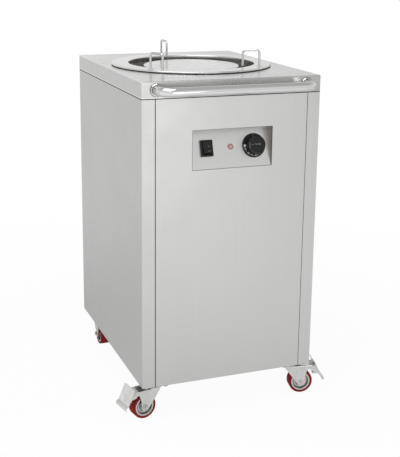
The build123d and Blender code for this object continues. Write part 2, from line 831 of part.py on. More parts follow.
# ---------------------------------------------------------------- sprung platform
with BuildPart() as plate_platform:
    with BuildSketch(level(platform_top - platform_edge)):
        Circle(platform_radius)
    extrude(amount=platform_edge)
    fillet(plate_platform.edges().sort_by(Axis.Z)[-1], platform_edge_radius)
    offset(amount=-platform_sheet, openings=plate_platform.faces().sort_by(Axis.Z)[0])
plate_platform.part.label = "plate_platform"
export_step(plate_platform.part, "parts/plate_platform.step")

arm_reach = well_radius - runner_clearance - runner_thickness
with BuildPart() as platform_carrier:
    with BuildSketch(level(carrier_disc_top)):
        Circle(carrier_disc_radius)
    extrude(amount=-carrier_disc_thickness)
    with BuildSketch(level(carrier_disc_top)):
        Circle(carrier_post_radius)
    extrude(amount=-carrier_post_height)
    for turn in range(arm_count):
        heading = 90 + 360 * turn / arm_count
        arm_line = (cos(radians(heading)), sin(radians(heading)), 0)
        arm_plane = Plane((0, cabinet_y, carrier_arm_top), x_dir=arm_line, z_dir=(0, 0, 1))
        with BuildSketch(arm_plane):
            with Locations((arm_reach / 2, 0)):
                Rectangle(arm_reach, carrier_arm_width)
        extrude(amount=-carrier_arm_height)
        with BuildSketch(arm_plane):
            with Locations((arm_reach - carrier_tab_thickness / 2, 0)):
                Rectangle(carrier_tab_thickness, carrier_arm_width)
        extrude(amount=-carrier_arm_height - carrier_tab_height)
        with BuildSketch(Plane(arm_plane.origin, x_dir=arm_line, z_dir=arm_plane.y_dir)):
            channel_middle = (carrier_disc_radius + arm_reach) / 2
            channel_length = arm_reach - carrier_disc_radius - 2 * carrier_tab_thickness
            with Locations((channel_middle, carrier_arm_height / 2 + carrier_tab_thickness)):
                Rectangle(channel_length, carrier_arm_height)
        extrude(amount=carrier_arm_width / 2 - carrier_tab_thickness, both=True, mode=Mode.SUBTRACT)
    with BuildSketch(level(carrier_arm_bottom)):
        Circle(spring_mean_radius + spring_wire)
    extrude(amount=carrier_tab_thickness)
    with BuildSketch(level(carrier_arm_bottom)):
        Circle(guide_tube_radius)
        Circle(guide_tube_radius - guide_tube_wall, mode=Mode.SUBTRACT)
    extrude(amount=-spring_collar_depth)
platform_carrier.part.label = "platform_carrier"
export_step(platform_carrier.part, "parts/platform_carrier.step")

runner_top = carrier_arm_bottom + carrier_arm_height / 2
with BuildPart() as carrier_runners:
    with BuildSketch(level(runner_top)):
        for turn in range(arm_count):
            with Locations(Rotation(0, 0, 90 + 360 * turn / arm_count)):
                with Locations((arm_reach + runner_thickness / 2, 0)):
                    Rectangle(runner_thickness * 2, runner_width)
        Circle(well_radius - runner_clearance, mode=Mode.INTERSECT)
        for turn in range(arm_count):
            with Locations(Rotation(0, 0, 90 + 360 * turn / arm_count)):
                with Locations((arm_reach / 2, 0)):
                    Rectangle(arm_reach, 2 * runner_width, mode=Mode.SUBTRACT)
    extrude(amount=-runner_height)
carrier_runners.part.label = "carrier_runners"
export_step(carrier_runners.part, "parts/carrier_runners.step")


def spring_point(turn, start, pitch):
    """Point of the spring's helix after a number of turns."""
    angle = 2 * pi * turn
    return Vector(
        spring_mean_radius * cos(angle), cabinet_y + spring_mean_radius * sin(angle), start + pitch * turn
    )


def spring_heading(turn, pitch):
    """Unit direction of the helix after a number of turns."""
    angle = 2 * pi * turn
    rise = pitch / (2 * pi * spring_mean_radius)
    return Vector(-sin(angle), cos(angle), rise).normalized()


spring_start = spring_base + spring_wire / 2 + spring_seat_gap
spring_end = spring_top - spring_wire / 2 - spring_seat_gap
spring_pitch = (spring_end - spring_start) / spring_turns
with BuildPart() as lift_spring:
    with BuildLine():
        for half in range(2 * spring_turns):
            first = spring_point(half / 2, spring_start, spring_pitch)
            last = spring_point((half + 1) / 2, spring_start, spring_pitch)
            leaving = spring_heading(half / 2, spring_pitch)
            arriving = spring_heading((half + 1) / 2, spring_pitch)
            # Two arcs that share a tangent where they meet: solve for their common reach.
            chord = last - first
            both = leaving + arriving
            square_term = both.dot(both) - 4
            linear_term = -2 * chord.dot(both)
            root = (linear_term**2 - 4 * square_term * chord.dot(chord)) ** 0.5
            reach = (-linear_term - root) / (2 * square_term)
            joint_point = (first + leaving * reach + last - arriving * reach) * 0.5
            heading = (last - arriving * reach - first - leaving * reach).normalized()
            TangentArc(first, joint_point, tangent=leaving)
            TangentArc(joint_point, last, tangent=heading)
    wire_start = spring_point(0, spring_start, spring_pitch)
    with BuildSketch(Plane(wire_start, z_dir=spring_heading(0, spring_pitch))):
        Circle(spring_wire / 2)
    sweep()
wire_length = spring_turns * hypot(2 * pi * spring_mean_radius, spring_pitch)
print("spring volume", round(lift_spring.part.volume), "of", round(wire_length * pi * spring_wire**2 / 4))
print("least gap between turns", round(spring_pitch - spring_wire, 2), "mm")
lift_spring.part.label = "lift_spring"
export_step(lift_spring.part, "parts/lift_spring.step")

# ---------------------------------------------------------------- plate guides and their bushes
bush_bottom = worktop_height - guide_bush_length
with BuildPart() as guide_bushes:
    with BuildSketch(level(bush_bottom)):
        with Locations(*guide_pivots):
            Circle(guide_bush_radius)
    extrude(amount=ring_top - bush_bottom)
    with BuildSketch(level(ring_top)):
        with Locations(*guide_pivots):
            Circle(guide_bush_collar)
    extrude(amount=guide_bush_collar_thickness)
    with BuildSketch(level(bush_bottom)):
        with Locations(*guide_pivots):
            Circle(guide_rod / 2 + running_clearance)
    extrude(amount=2 * guide_bush_length, mode=Mode.SUBTRACT)
guide_bushes.part.label = "guide_bushes"
export_step(guide_bushes.part, "parts/guide_bushes.step")

for name, (angle, swing, turn) in guides.items():
    pivot_x, pivot_y = guide_pivot(angle)
    leg_angle = radians(angle + swing if turn > 0 else angle + 180 - swing)
    leg_line = (cos(leg_angle), sin(leg_angle), 0)
    leg_side = (sin(leg_angle), -cos(leg_angle), 0)
    rod_bottom = bush_bottom - guide_clip_thickness - part_gap
    bar_height = ring_top + guide_height - guide_rod / 2
    with BuildPart() as plate_guide:
        with BuildLine(Plane((pivot_x, cabinet_y + pivot_y, 0), x_dir=leg_line, z_dir=leg_side)):
            FilletPolyline(
                (0, rod_bottom),
                (0, bar_height),
                (guide_span, bar_height),
                (guide_span, ring_top + guide_foot_gap),
                radius=guide_bend,
            )
        with BuildSketch(Plane((pivot_x, cabinet_y + pivot_y, rod_bottom))):
            Circle(guide_rod / 2)
        sweep()
        fillet(plate_guide.edges().filter_by(GeomType.CIRCLE).group_by(Axis.Z)[0], guide_end_radius)
        with BuildSketch(Plane((pivot_x, cabinet_y + pivot_y, bush_bottom - part_gap))):
            Circle(guide_clip_radius)
        extrude(amount=-guide_clip_thickness)
    plate_guide.part.label = name
    export_step(plate_guide.part, f"parts/{name}.step")

# ---------------------------------------------------------------- heating element, terminals, gland
with BuildPart() as heating_element:
    lead_x = element_lead_spacing / 2
    with BuildLine(level(element_height)):
        FilletPolyline(
            (-lead_x, element_lead_reach),
            (-lead_x, element_half_width),
            (-element_half_width, element_half_width),
            (-element_half_width, -element_half_width),
            (element_half_width, -element_half_width),
            (element_half_width, element_half_width),
            (lead_x, element_half_width),
            (lead_x, element_lead_reach),
            radius=[element_lead_bend] + [element_bend] * 4 + [element_lead_bend],
        )
    with BuildSketch(Plane((-lead_x, cabinet_y + element_lead_reach, element_height), z_dir=(0, -1, 0))):
        Circle(element_radius)
    sweep()
heating_element.part.label = "heating_element"
export_step(heating_element.part, "parts/heating_element.step")

with BuildPart() as element_brackets:
    bracket_top = element_height + element_radius + bracket_thickness
    for side in (-1, 1):
        with BuildSketch(Plane((side * element_half_width, cabinet_y, 0), x_dir=(1, 0, 0), z_dir=(0, -1, 0))):
            with BuildLine():
                Polyline(
                    (-element_radius - bracket_thickness, pan_top),
                    (-element_radius - bracket_thickness, bracket_top),
                    (element_radius + bracket_thickness, bracket_top),
                    (element_radius + bracket_thickness, pan_top),
                    close=True,
                )
            make_face()
            with Locations((0, element_height)):
                Circle(element_radius, mode=Mode.SUBTRACT)
            with Locations((0, (pan_top + element_height - element_radius) / 2 - bracket_thickness)):
                Rectangle(
                    2 * element_radius, element_height - element_radius - pan_top - bracket_thickness,
                    mode=Mode.SUBTRACT,
                )
        extrude(amount=bracket_width / 2, both=True)
element_brackets.part.label = "element_brackets"
export_step(element_brackets.part, "parts/element_brackets.step")

terminal_y = cabinet_depth / 2 - 3 * terminal_width
with BuildPart() as terminal_block:
    with BuildSketch(level(pan_top)):
        with Locations((terminal_x, terminal_y)):
            RectangleRounded(terminal_length, terminal_width, terminal_corner)
    extrude(amount=terminal_height)
    with BuildSketch(level(pan_top + terminal_height)):
        with Locations((terminal_x, terminal_y)):
            with GridLocations(terminal_length / terminal_count, terminal_width / 2, terminal_count, 2):
                Circle(terminal_well_radius)
    extrude(amount=-terminal_height / 2, mode=Mode.SUBTRACT)
terminal_block.part.label = "terminal_block"
export_step(terminal_block.part, "parts/terminal_block.step")

with BuildPart() as cable_gland:
    with BuildSketch(rear_face(gland_x, gland_height)):
        RegularPolygon(gland_hex_radius, 6)
    extrude(amount=gland_hex_thickness)
    with BuildSketch(rear_face(gland_x, gland_height, -gland_hex_thickness)):
        Circle(gland_dome_radius)
    extrude(amount=gland_dome_length)
    fillet(cable_gland.faces().sort_by(Axis.Y)[-1].edges(), gland_dome_edge)
    with BuildSketch(rear_face(gland_x, gland_height)):
        Circle(gland_thread_radius)
    extrude(amount=-gland_thread_length)
    with BuildSketch(rear_face(gland_x, gland_height, sheet)):
        RegularPolygon(gland_hex_radius, 6)
    extrude(amount=-gland_hex_thickness / 2)
    with BuildSketch(rear_face(gland_x, gland_height, gland_thread_length)):
        Circle(gland_bore_radius)
    extrude(amount=gland_thread_length + gland_reach, mode=Mode.SUBTRACT)
cable_gland.part.label = "cable_gland"
export_step(cable_gland.part, "parts/cable_gland.step")

with BuildPart() as back_panel_screws:
    screw_x = half_width - rear_return / 2
    screw_span = panel_top - caster_height - 4 * rear_return
    with BuildSketch(rear_face(0, (panel_top + caster_height) / 2)):
        with GridLocations(2 * screw_x, screw_span / (panel_screw_rows - 1), 2, panel_screw_rows):
            Circle(panel_screw_radius)
    extrude(amount=panel_screw_height)
    heads = back_panel_screws.faces().group_by(Axis.Y)[-1]
    chamfer(heads.edges(), panel_screw_height / 3)
back_panel_screws.part.label = "back_panel_screws"
export_step(back_panel_screws.part, "parts/back_panel_screws.step")

# ---------------------------------------------------------------- casters
plate_bottom = caster_height - caster_plate_thickness
race_bottom = plate_bottom - race_cup_depth
fork_race_top = race_bottom - race_gap
crown_top = fork_race_top - fork_race_rise
crown_bottom = crown_top - fork_sheet
eye_height = wheel_radius
cheek_inner = fork_width / 2 - fork_sheet
pedal_pivot = (pedal_pivot_reach, pedal_pivot_height)


def caster_frame(corner):
    """Spot of a caster, the way it trails and the way its axle points, both unit vectors."""
    side, end = corners[corner]
    heading = radians(180 + front_steer if side < 0 else -front_steer) if end < 0 else radians(-90)
    spot = (side * (half_width - caster_inset), cabinet_y + end * (cabinet_depth / 2 - caster_inset))
    trail = Vector(cos(heading), sin(heading), 0)
    axle = Vector(sin(heading), -cos(heading), 0)
    return spot, trail, axle


for corner in corners:
    spot, trail, axle = caster_frame(corner)
    braked = corner.startswith("front")
    side_view = Plane((*spot, 0), x_dir=trail, z_dir=axle)
    from_above = Plane((*spot, 0), x_dir=trail, z_dir=(0, 0, 1))
    axle_point = Vector(*spot, eye_height) + trail * caster_trail
    wheel_section = Plane(axle_point, x_dir=(0, 0, 1), z_dir=trail)
    wheel_axis = Axis(origin=axle_point, direction=axle)

    # Top plate with the upper race pressed under it and the kingpin through its middle
    with BuildPart() as caster_plate:
        with BuildSketch(Plane((*spot, plate_bottom))):
            RectangleRounded(caster_plate_size, caster_plate_size, caster_plate_corner)
            with GridLocations(caster_bolt_spacing, caster_bolt_spacing, 2, 2):
                Circle(caster_bolt_radius, mode=Mode.SUBTRACT)
        extrude(amount=caster_plate_thickness)
        with BuildSketch(Plane((*spot, plate_bottom))):
            Circle(race_cup_radius)
        extrude(amount=-race_cup_depth)
        chamfer(caster_plate.faces().sort_by(Axis.Z)[0].edges(), race_cup_chamfer)
        with BuildSketch(Plane((*spot, race_bottom))):
            Circle(kingpin_radius)
        extrude(amount=crown_bottom - part_gap - race_bottom)
        with BuildSketch(Plane((*spot, crown_bottom - part_gap))):
            Circle(kingpin_head_radius)
        extrude(amount=-kingpin_head_thickness)
    caster_plate.part.label = f"{corner}_caster_plate"
    export_step(caster_plate.part, f"parts/{corner}_caster_plate.step")

    # Pressed fork: the side view, cut to the plan, then hollowed between its cheeks
    with BuildPart() as caster_fork:
        with BuildSketch(side_view):
            eye_x = caster_trail
            with BuildLine():
                if braked:
                    Polyline(
                        (eye_x + fork_eye_radius, eye_height),
                        (cheek_throat_reach, cheek_throat_height),
                        (horn_root_reach, horn_underside),
                        (horn_chin_reach, horn_underside),
                        (horn_toe_reach, horn_toe_height),
                        (horn_end_reach, horn_end_height),
                        (horn_end_reach, horn_shoulder_height),
                        (pedal_pivot_reach, horn_crest_height),
                        (eye_x + fork_race_radius, crown_top),
                        (-fork_front, crown_top),
                    )
                else:
                    Polyline(
                        (eye_x + fork_eye_radius, eye_height),
                        (cheek_throat_reach, cheek_throat_height),
                        (fork_race_radius, crown_top - 2 * fork_sheet),
                        (fork_race_radius, crown_top),
                        (-fork_front, crown_top),
                    )
                # The leading edge runs down to touch the round eye at a tangent.
                reach_to_eye = hypot(eye_x + fork_front, crown_top - eye_height)
                slope = atan2(eye_height - crown_top, eye_x + fork_front)
                lean = slope - asin(fork_eye_radius / reach_to_eye)
                touch_x = eye_x + fork_eye_radius * sin(lean)
                touch_height = eye_height - fork_eye_radius * cos(lean)
                Line((-fork_front, crown_top), (touch_x, touch_height))
                ThreePointArc(
                    (touch_x, touch_height),
                    (eye_x, eye_height - fork_eye_radius),
                    (eye_x + fork_eye_radius, eye_height),
                )
            make_face()
        extrude(amount=fork_width / 2, both=True)
        long_edges = caster_fork.edges().filter_by(Axis(origin=(0, 0, 0), direction=trail))
        fillet(long_edges.filter_by_position(Axis.Z, crown_top - part_gap, crown_top + part_gap), fork_bend)
        with BuildSketch(from_above):
            with BuildLine():
                Polyline(
                    (-fork_front, -fork_width / 2 + fork_bend_depth),
                    (0, -fork_width / 2),
                    (2 * pedal_pivot_reach, -fork_width / 2),
                    (2 * pedal_pivot_reach, fork_width / 2),
                    (0, fork_width / 2),
                    (-fork_front, fork_width / 2 - fork_bend_depth),
                    close=True,
                )
            make_face()
        extrude(amount=caster_height, mode=Mode.INTERSECT)
        with BuildSketch(from_above):
            with BuildLine():
                Polyline(
                    (-2 * fork_front, -cheek_inner + 2 * fork_bend_depth),
                    (0, -cheek_inner),
                    (2 * pedal_pivot_reach, -cheek_inner),
                    (2 * pedal_pivot_reach, cheek_inner),
                    (0, cheek_inner),
                    (-2 * fork_front, cheek_inner - 2 * fork_bend_depth),
                    close=True,
                )
            make_face()
        extrude(amount=crown_bottom, mode=Mode.SUBTRACT)
        with BuildSketch(Plane((*spot, crown_bottom))):
            Circle(fork_race_radius)
        extrude(amount=fork_sheet + fork_race_rise)
        with BuildSketch(Plane((*spot, crown_bottom))):
            Circle(kingpin_radius + running_clearance)
        extrude(amount=caster_height, mode=Mode.SUBTRACT)
        with BuildSketch(Plane(axle_point, z_dir=axle)):
            Circle(axle_radius)
        extrude(amount=fork_width, both=True, mode=Mode.SUBTRACT)
        if braked:
            with BuildSketch(side_view):
                with Locations(pedal_pivot):
                    Circle(pedal_pin_radius + running_clearance)
            extrude(amount=fork_width, both=True, mode=Mode.SUBTRACT)
    caster_fork.part.label = f"{corner}_caster_fork"
    export_step(caster_fork.part, f"parts/{corner}_caster_fork.step")

    if braked:
        with BuildPart() as brake_pedal:
            with BuildSketch(side_view):
                with BuildLine():
                    FilletPolyline(
                        (pedal_top_reach, caster_height - pedal_top_gap),
                        (pedal_knee_reach, pedal_knee_height),
                        (pedal_lip_reach, pedal_lip_height),
                        (pedal_tip_reach, pedal_tip_height),
                        radius=pedal_lip_bend,
                    )
                trace(line_width=pedal_sheet)
            extrude(amount=pedal_width / 2, both=True)
            for cheek_side in (-1, 1):
                ear_start = fork_width / 2 + pedal_ear_gap
                ear_normal = axle * cheek_side
                ear_plane = Plane(side_view.origin + ear_normal * ear_start, x_dir=trail, z_dir=axle)
                with BuildSketch(ear_plane):
                    with Locations(pedal_pivot):
                        Circle(pedal_ear_radius)
                    with BuildLine():
                        Polyline(
                            (pedal_pivot_reach, pedal_pivot_height + pedal_ear_radius),
                            (pedal_ear_top_reach, pedal_ear_top_height),
                            (pedal_ear_low_reach, pedal_ear_low_height),
                            (pedal_pivot_reach, pedal_pivot_height - pedal_ear_radius),
                            close=True,
                        )
                    make_face()
                extrude(amount=cheek_side * pedal_sheet)
                head_start = side_view.origin + ear_normal * (ear_start + pedal_sheet)
                head_plane = Plane(head_start, x_dir=trail, z_dir=axle)
                with BuildSketch(head_plane):
                    with Locations(pedal_pivot):
                        Circle(pedal_pin_head)
                extrude(amount=cheek_side * pedal_pin_head_thickness)
            with BuildSketch(side_view):
                with Locations(pedal_pivot):
                    Circle(pedal_pin_radius)
            extrude(amount=fork_width / 2 + pedal_ear_gap + pedal_sheet, both=True)
            with BuildSketch(side_view):
                with Locations((brake_shoe_reach + brake_shoe_length / 2, brake_shoe_height)):
                    Rectangle(brake_shoe_length, brake_shoe_thickness)
            extrude(amount=brake_shoe_width / 2, both=True)
        brake_pedal.part.label = f"{corner}_brake_pedal"
        export_step(brake_pedal.part, f"parts/{corner}_brake_pedal.step")

    with BuildPart() as axle_bolt:
        with BuildSketch(Plane(axle_point + axle * (fork_width / 2), x_dir=trail, z_dir=axle)):
            RegularPolygon(axle_head_radius, 6)
        extrude(amount=axle_head_thickness)
        with BuildSketch(Plane(axle_point - axle * (fork_width / 2), x_dir=trail, z_dir=-axle)):
            RegularPolygon(axle_head_radius, 6)
        extrude(amount=axle_nut_thickness)
        with BuildSketch(Plane(axle_point, z_dir=axle)):
            Circle(axle_radius)
        extrude(amount=fork_width / 2 + axle_nut_thickness + axle_thread_end, both=True)
    axle_bolt.part.label = f"{corner}_axle_bolt"
    export_step(axle_bolt.part, f"parts/{corner}_axle_bolt.step")

    with BuildPart() as wheel_hub:
        with BuildSketch(wheel_section):
            with BuildLine():
                Polyline(
                    (axle_radius + running_clearance, 0),
                    (axle_radius + running_clearance, hub_boss_width / 2),
                    (hub_boss_radius, hub_boss_width / 2),
                    (hub_boss_radius, hub_web_width / 2),
                    (hub_ring_radius - hub_ring_width / 2, hub_web_width / 2),
                    (hub_ring_radius - hub_ring_width / 2, hub_web_width / 2 + hub_ring_rise),
                    (hub_ring_radius + hub_ring_width / 2, hub_web_width / 2 + hub_ring_rise),
                    (hub_ring_radius + hub_ring_width / 2, hub_web_width / 2),
                    (hub_rim_inner_radius, hub_web_width / 2),
                    (hub_rim_inner_radius, hub_rim_width / 2),
                    (tyre_inner_radius, hub_rim_width / 2),
                    (tyre_inner_radius, 0),
                    close=True,
                )
            make_face()
            mirror(about=Plane.XZ)
        revolve(axis=wheel_axis)
    wheel_hub.part.label = f"{corner}_wheel_hub"
    export_step(wheel_hub.part, f"parts/{corner}_wheel_hub.step")

    with BuildPart() as wheel_tyre:
        with BuildSketch(wheel_section) as tread:
            with Locations(((tyre_inner_radius + wheel_radius) / 2, 0)):
                Rectangle(wheel_radius - tyre_inner_radius, tyre_width)
            fillet(tread.vertices().group_by(Axis.Z)[-1], tyre_shoulder)
        revolve(axis=wheel_axis)
    wheel_tyre.part.label = f"{corner}_wheel_tyre"
    export_step(wheel_tyre.part, f"parts/{corner}_wheel_tyre.step")

with BuildPart() as caster_bolts:
    nut_level = pan_top + backing_thickness
    for start, thickness in ((plate_bottom, -caster_bolt_head_height), (nut_level, caster_bolt_head_height)):
        with BuildSketch(level(start)):
            for spot in caster_spots:
                with Locations(spot):
                    with GridLocations(caster_bolt_spacing, caster_bolt_spacing, 2, 2):
                        RegularPolygon(caster_bolt_head, 6)
        extrude(amount=thickness)
    with BuildSketch(level(plate_bottom)):
        for spot in caster_spots:
            with Locations(spot):
                with GridLocations(caster_bolt_spacing, caster_bolt_spacing, 2, 2):
                    Circle(caster_bolt_radius)
    extrude(amount=nut_level + 2 * caster_bolt_head_height - plate_bottom)
caster_bolts.part.label = "caster_bolts"
export_step(caster_bolts.part, "parts/caster_bolts.step")
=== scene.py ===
"""Looks, small fittings and studio for a heated plate dispenser cart.

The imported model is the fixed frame. Each class below dresses one sub-assembly of it in procedural
finishes and adds the small pieces that only the eye needs. Everything is in metres, in the frame of
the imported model: +Z is up, the front with the handle and the controls faces -Y.
"""

import json
import logging
import math
from dataclasses import dataclass, field
from enum import Enum

import bmesh
import bpy
from mathutils import Matrix, Vector

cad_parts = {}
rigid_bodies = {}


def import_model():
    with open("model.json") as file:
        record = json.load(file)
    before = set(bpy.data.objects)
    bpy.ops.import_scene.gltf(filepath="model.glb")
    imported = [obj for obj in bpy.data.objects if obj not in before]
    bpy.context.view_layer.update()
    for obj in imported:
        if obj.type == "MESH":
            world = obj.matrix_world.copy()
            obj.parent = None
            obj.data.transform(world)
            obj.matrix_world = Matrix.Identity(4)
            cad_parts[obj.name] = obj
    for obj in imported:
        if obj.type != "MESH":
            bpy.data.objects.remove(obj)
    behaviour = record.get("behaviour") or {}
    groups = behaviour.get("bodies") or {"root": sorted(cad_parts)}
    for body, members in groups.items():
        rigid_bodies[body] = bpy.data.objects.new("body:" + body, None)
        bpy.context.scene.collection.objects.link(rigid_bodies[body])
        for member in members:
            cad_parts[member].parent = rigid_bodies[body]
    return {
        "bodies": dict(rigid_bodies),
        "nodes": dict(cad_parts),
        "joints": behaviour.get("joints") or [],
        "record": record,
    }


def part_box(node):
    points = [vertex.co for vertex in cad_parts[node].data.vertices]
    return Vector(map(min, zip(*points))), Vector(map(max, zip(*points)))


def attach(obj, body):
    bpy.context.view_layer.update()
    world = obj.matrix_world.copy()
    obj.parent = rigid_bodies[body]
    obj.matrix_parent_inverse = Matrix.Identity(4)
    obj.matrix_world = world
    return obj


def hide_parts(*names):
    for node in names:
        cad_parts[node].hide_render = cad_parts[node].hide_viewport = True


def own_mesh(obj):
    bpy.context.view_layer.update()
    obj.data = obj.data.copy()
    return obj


logging.basicConfig(level=logging.INFO, format="%(levelname)s %(message)s")
LOG = logging.getLogger("plate_cart")

Colour = tuple[float, float, float]
Socket = bpy.types.NodeSocket
Spans = tuple[tuple[float, float], ...]
CABINET = "cabinet"


# ---------------------------------------------------------------- node trees
class ShaderTree:
    """Short calls for building one node tree."""

    def __init__(self, tree: bpy.types.NodeTree) -> None:
        """Keep the tree that the calls build.

        Args:
            tree: The material's, group's or world's node tree.
        """
        self.tree = tree

    def add(self, kind: str, values: dict | None = None, **settings: object) -> bpy.types.Node:
        """Place a node.

        Args:
            kind: The node's Blender type.
            values: Socket name to its constant, or to the socket that feeds it.
            **settings: Properties of the node itself.

        Returns:
            The new node.
        """
        node = self.tree.nodes.new(kind)
        for name, value in settings.items():
            setattr(node, name, value)
        for name, value in (values or {}).items():
            self.feed(node.inputs[name], value)
        return node

    def feed(self, target: Socket, value: object) -> None:
        """Link a socket to the target, or set the target's constant.

        Args:
            target: The input socket.
            value: An output socket, a number or a tuple.
        """
        if isinstance(value, bpy.types.NodeSocket):
            self.tree.links.new(value, target)
        else:
            target.default_value = value

    def math(self, operation: str, first: object, second: object = 0.0, clamp: bool = False) -> Socket:
        """Return the result of a math node on two values.

        Args:
            operation: The math node's operation.
            first: Number or socket.
            second: Number or socket.
            clamp: Whether the result is held between 0 and 1.

        Returns:
            The result.
        """
        node = self.add("ShaderNodeMath", operation=operation, use_clamp=clamp)
        self.feed(node.inputs[0], first)
        self.feed(node.inputs[1], second)
        return node.outputs[0]

    def vector(self, operation: str, first: object, second: object = (0.0, 0.0, 0.0)) -> bpy.types.Node:
        """Return a vector math node on two values.

        Args:
            operation: The vector math node's operation.
            first: Tuple or socket.
            second: Tuple or socket.

        Returns:
            The node.
        """
        node = self.add("ShaderNodeVectorMath", operation=operation)
        self.feed(node.inputs[0], first)
        self.feed(node.inputs[1], second)
        return node

    def remap(self, value: Socket, low: float, high: float, to_low: float, to_high: float) -> Socket:
        """Return a value moved from one range to another, held inside the new range.

        Args:
            value: The socket to move.
            low: Where the old range starts.
            high: Where the old range ends.
            to_low: Where the new range starts.
            to_high: Where the new range ends.
        """
        node = self.add(
            "ShaderNodeMapRange",
            {"Value": value, "From Min": low, "From Max": high, "To Min": to_low, "To Max": to_high},
        )
        return node.outputs["Result"]

    def blend(self, factor: object, first: object, second: object) -> Socket:
        """Return a colour between two colours.

        Args:
            factor: 0 gives the first colour and 1 the second.
            first: Colour tuple or socket.
            second: Colour tuple or socket.

        Returns:
            The colour.
        """
        node = self.add("ShaderNodeMix", data_type="RGBA")
        self.feed(node.inputs["Factor"], factor)
        for name, value in (("A", first), ("B", second)):
            target = next(s for s in node.inputs if s.name == name and s.type == "RGBA")
            self.feed(target, (*value, 1.0) if isinstance(value, tuple) else value)
        return next(s for s in node.outputs if s.type == "RGBA")

    def noise(self, vector: Socket, scale: float, detail: float = 2.0, rough: float = 0.5) -> Socket:
        """Return the value of a noise texture.

        Args:
            vector: Where the noise is read.
            scale: Features per unit.
            detail: Octaves.
            rough: How strong the finer octaves are.
        """
        node = self.add("ShaderNodeTexNoise",
                        {"Vector": vector, "Scale": scale, "Detail": detail, "Roughness": rough})
        return node.outputs[0]

    def place(self) -> Socket:
        """Return the object coordinates, in metres in the model's frame."""
        return self.add("ShaderNodeTexCoord").outputs["Object"]

    def facing(self) -> bpy.types.Node:
        """Return the parts of a face's own direction."""
        normal = self.add("ShaderNodeNewGeometry").outputs["True Normal"]
        return self.add("ShaderNodeSeparateXYZ", {"Vector": normal})

    def relief(self, height: Socket, strength: float, distance: float) -> bpy.types.Node:
        """Return a bump of a height pattern, as high as the distance in metres."""
        return self.add("ShaderNodeBump", {"Height": height, "Strength": strength, "Distance": distance})

    def scaled(self, vector: Socket, factor: Socket) -> Socket:
        """Return a vector that is multiplied by a number.

        Args:
            vector: The vector.
            factor: The number.

        Returns:
            The scaled vector.
        """
        node = self.add("ShaderNodeVectorMath", operation="SCALE")
        self.feed(node.inputs[0], vector)
        self.feed(node.inputs["Scale"], factor)
        return node.outputs[0]


class Effect(Enum):
    """Surface effects that more than one material uses, each built once as a node group."""

    GRAIN = "brushed_grain"
    SPUN = "spun_rings"
    SHEET = "sheet_waves"
    MARKS = "handling_marks"
    EDGES = "box_edges"
    SPECKS = "moulded_specks"
    SPANGLE = "zinc_spangle"
    RADIUS = "axis_radius"


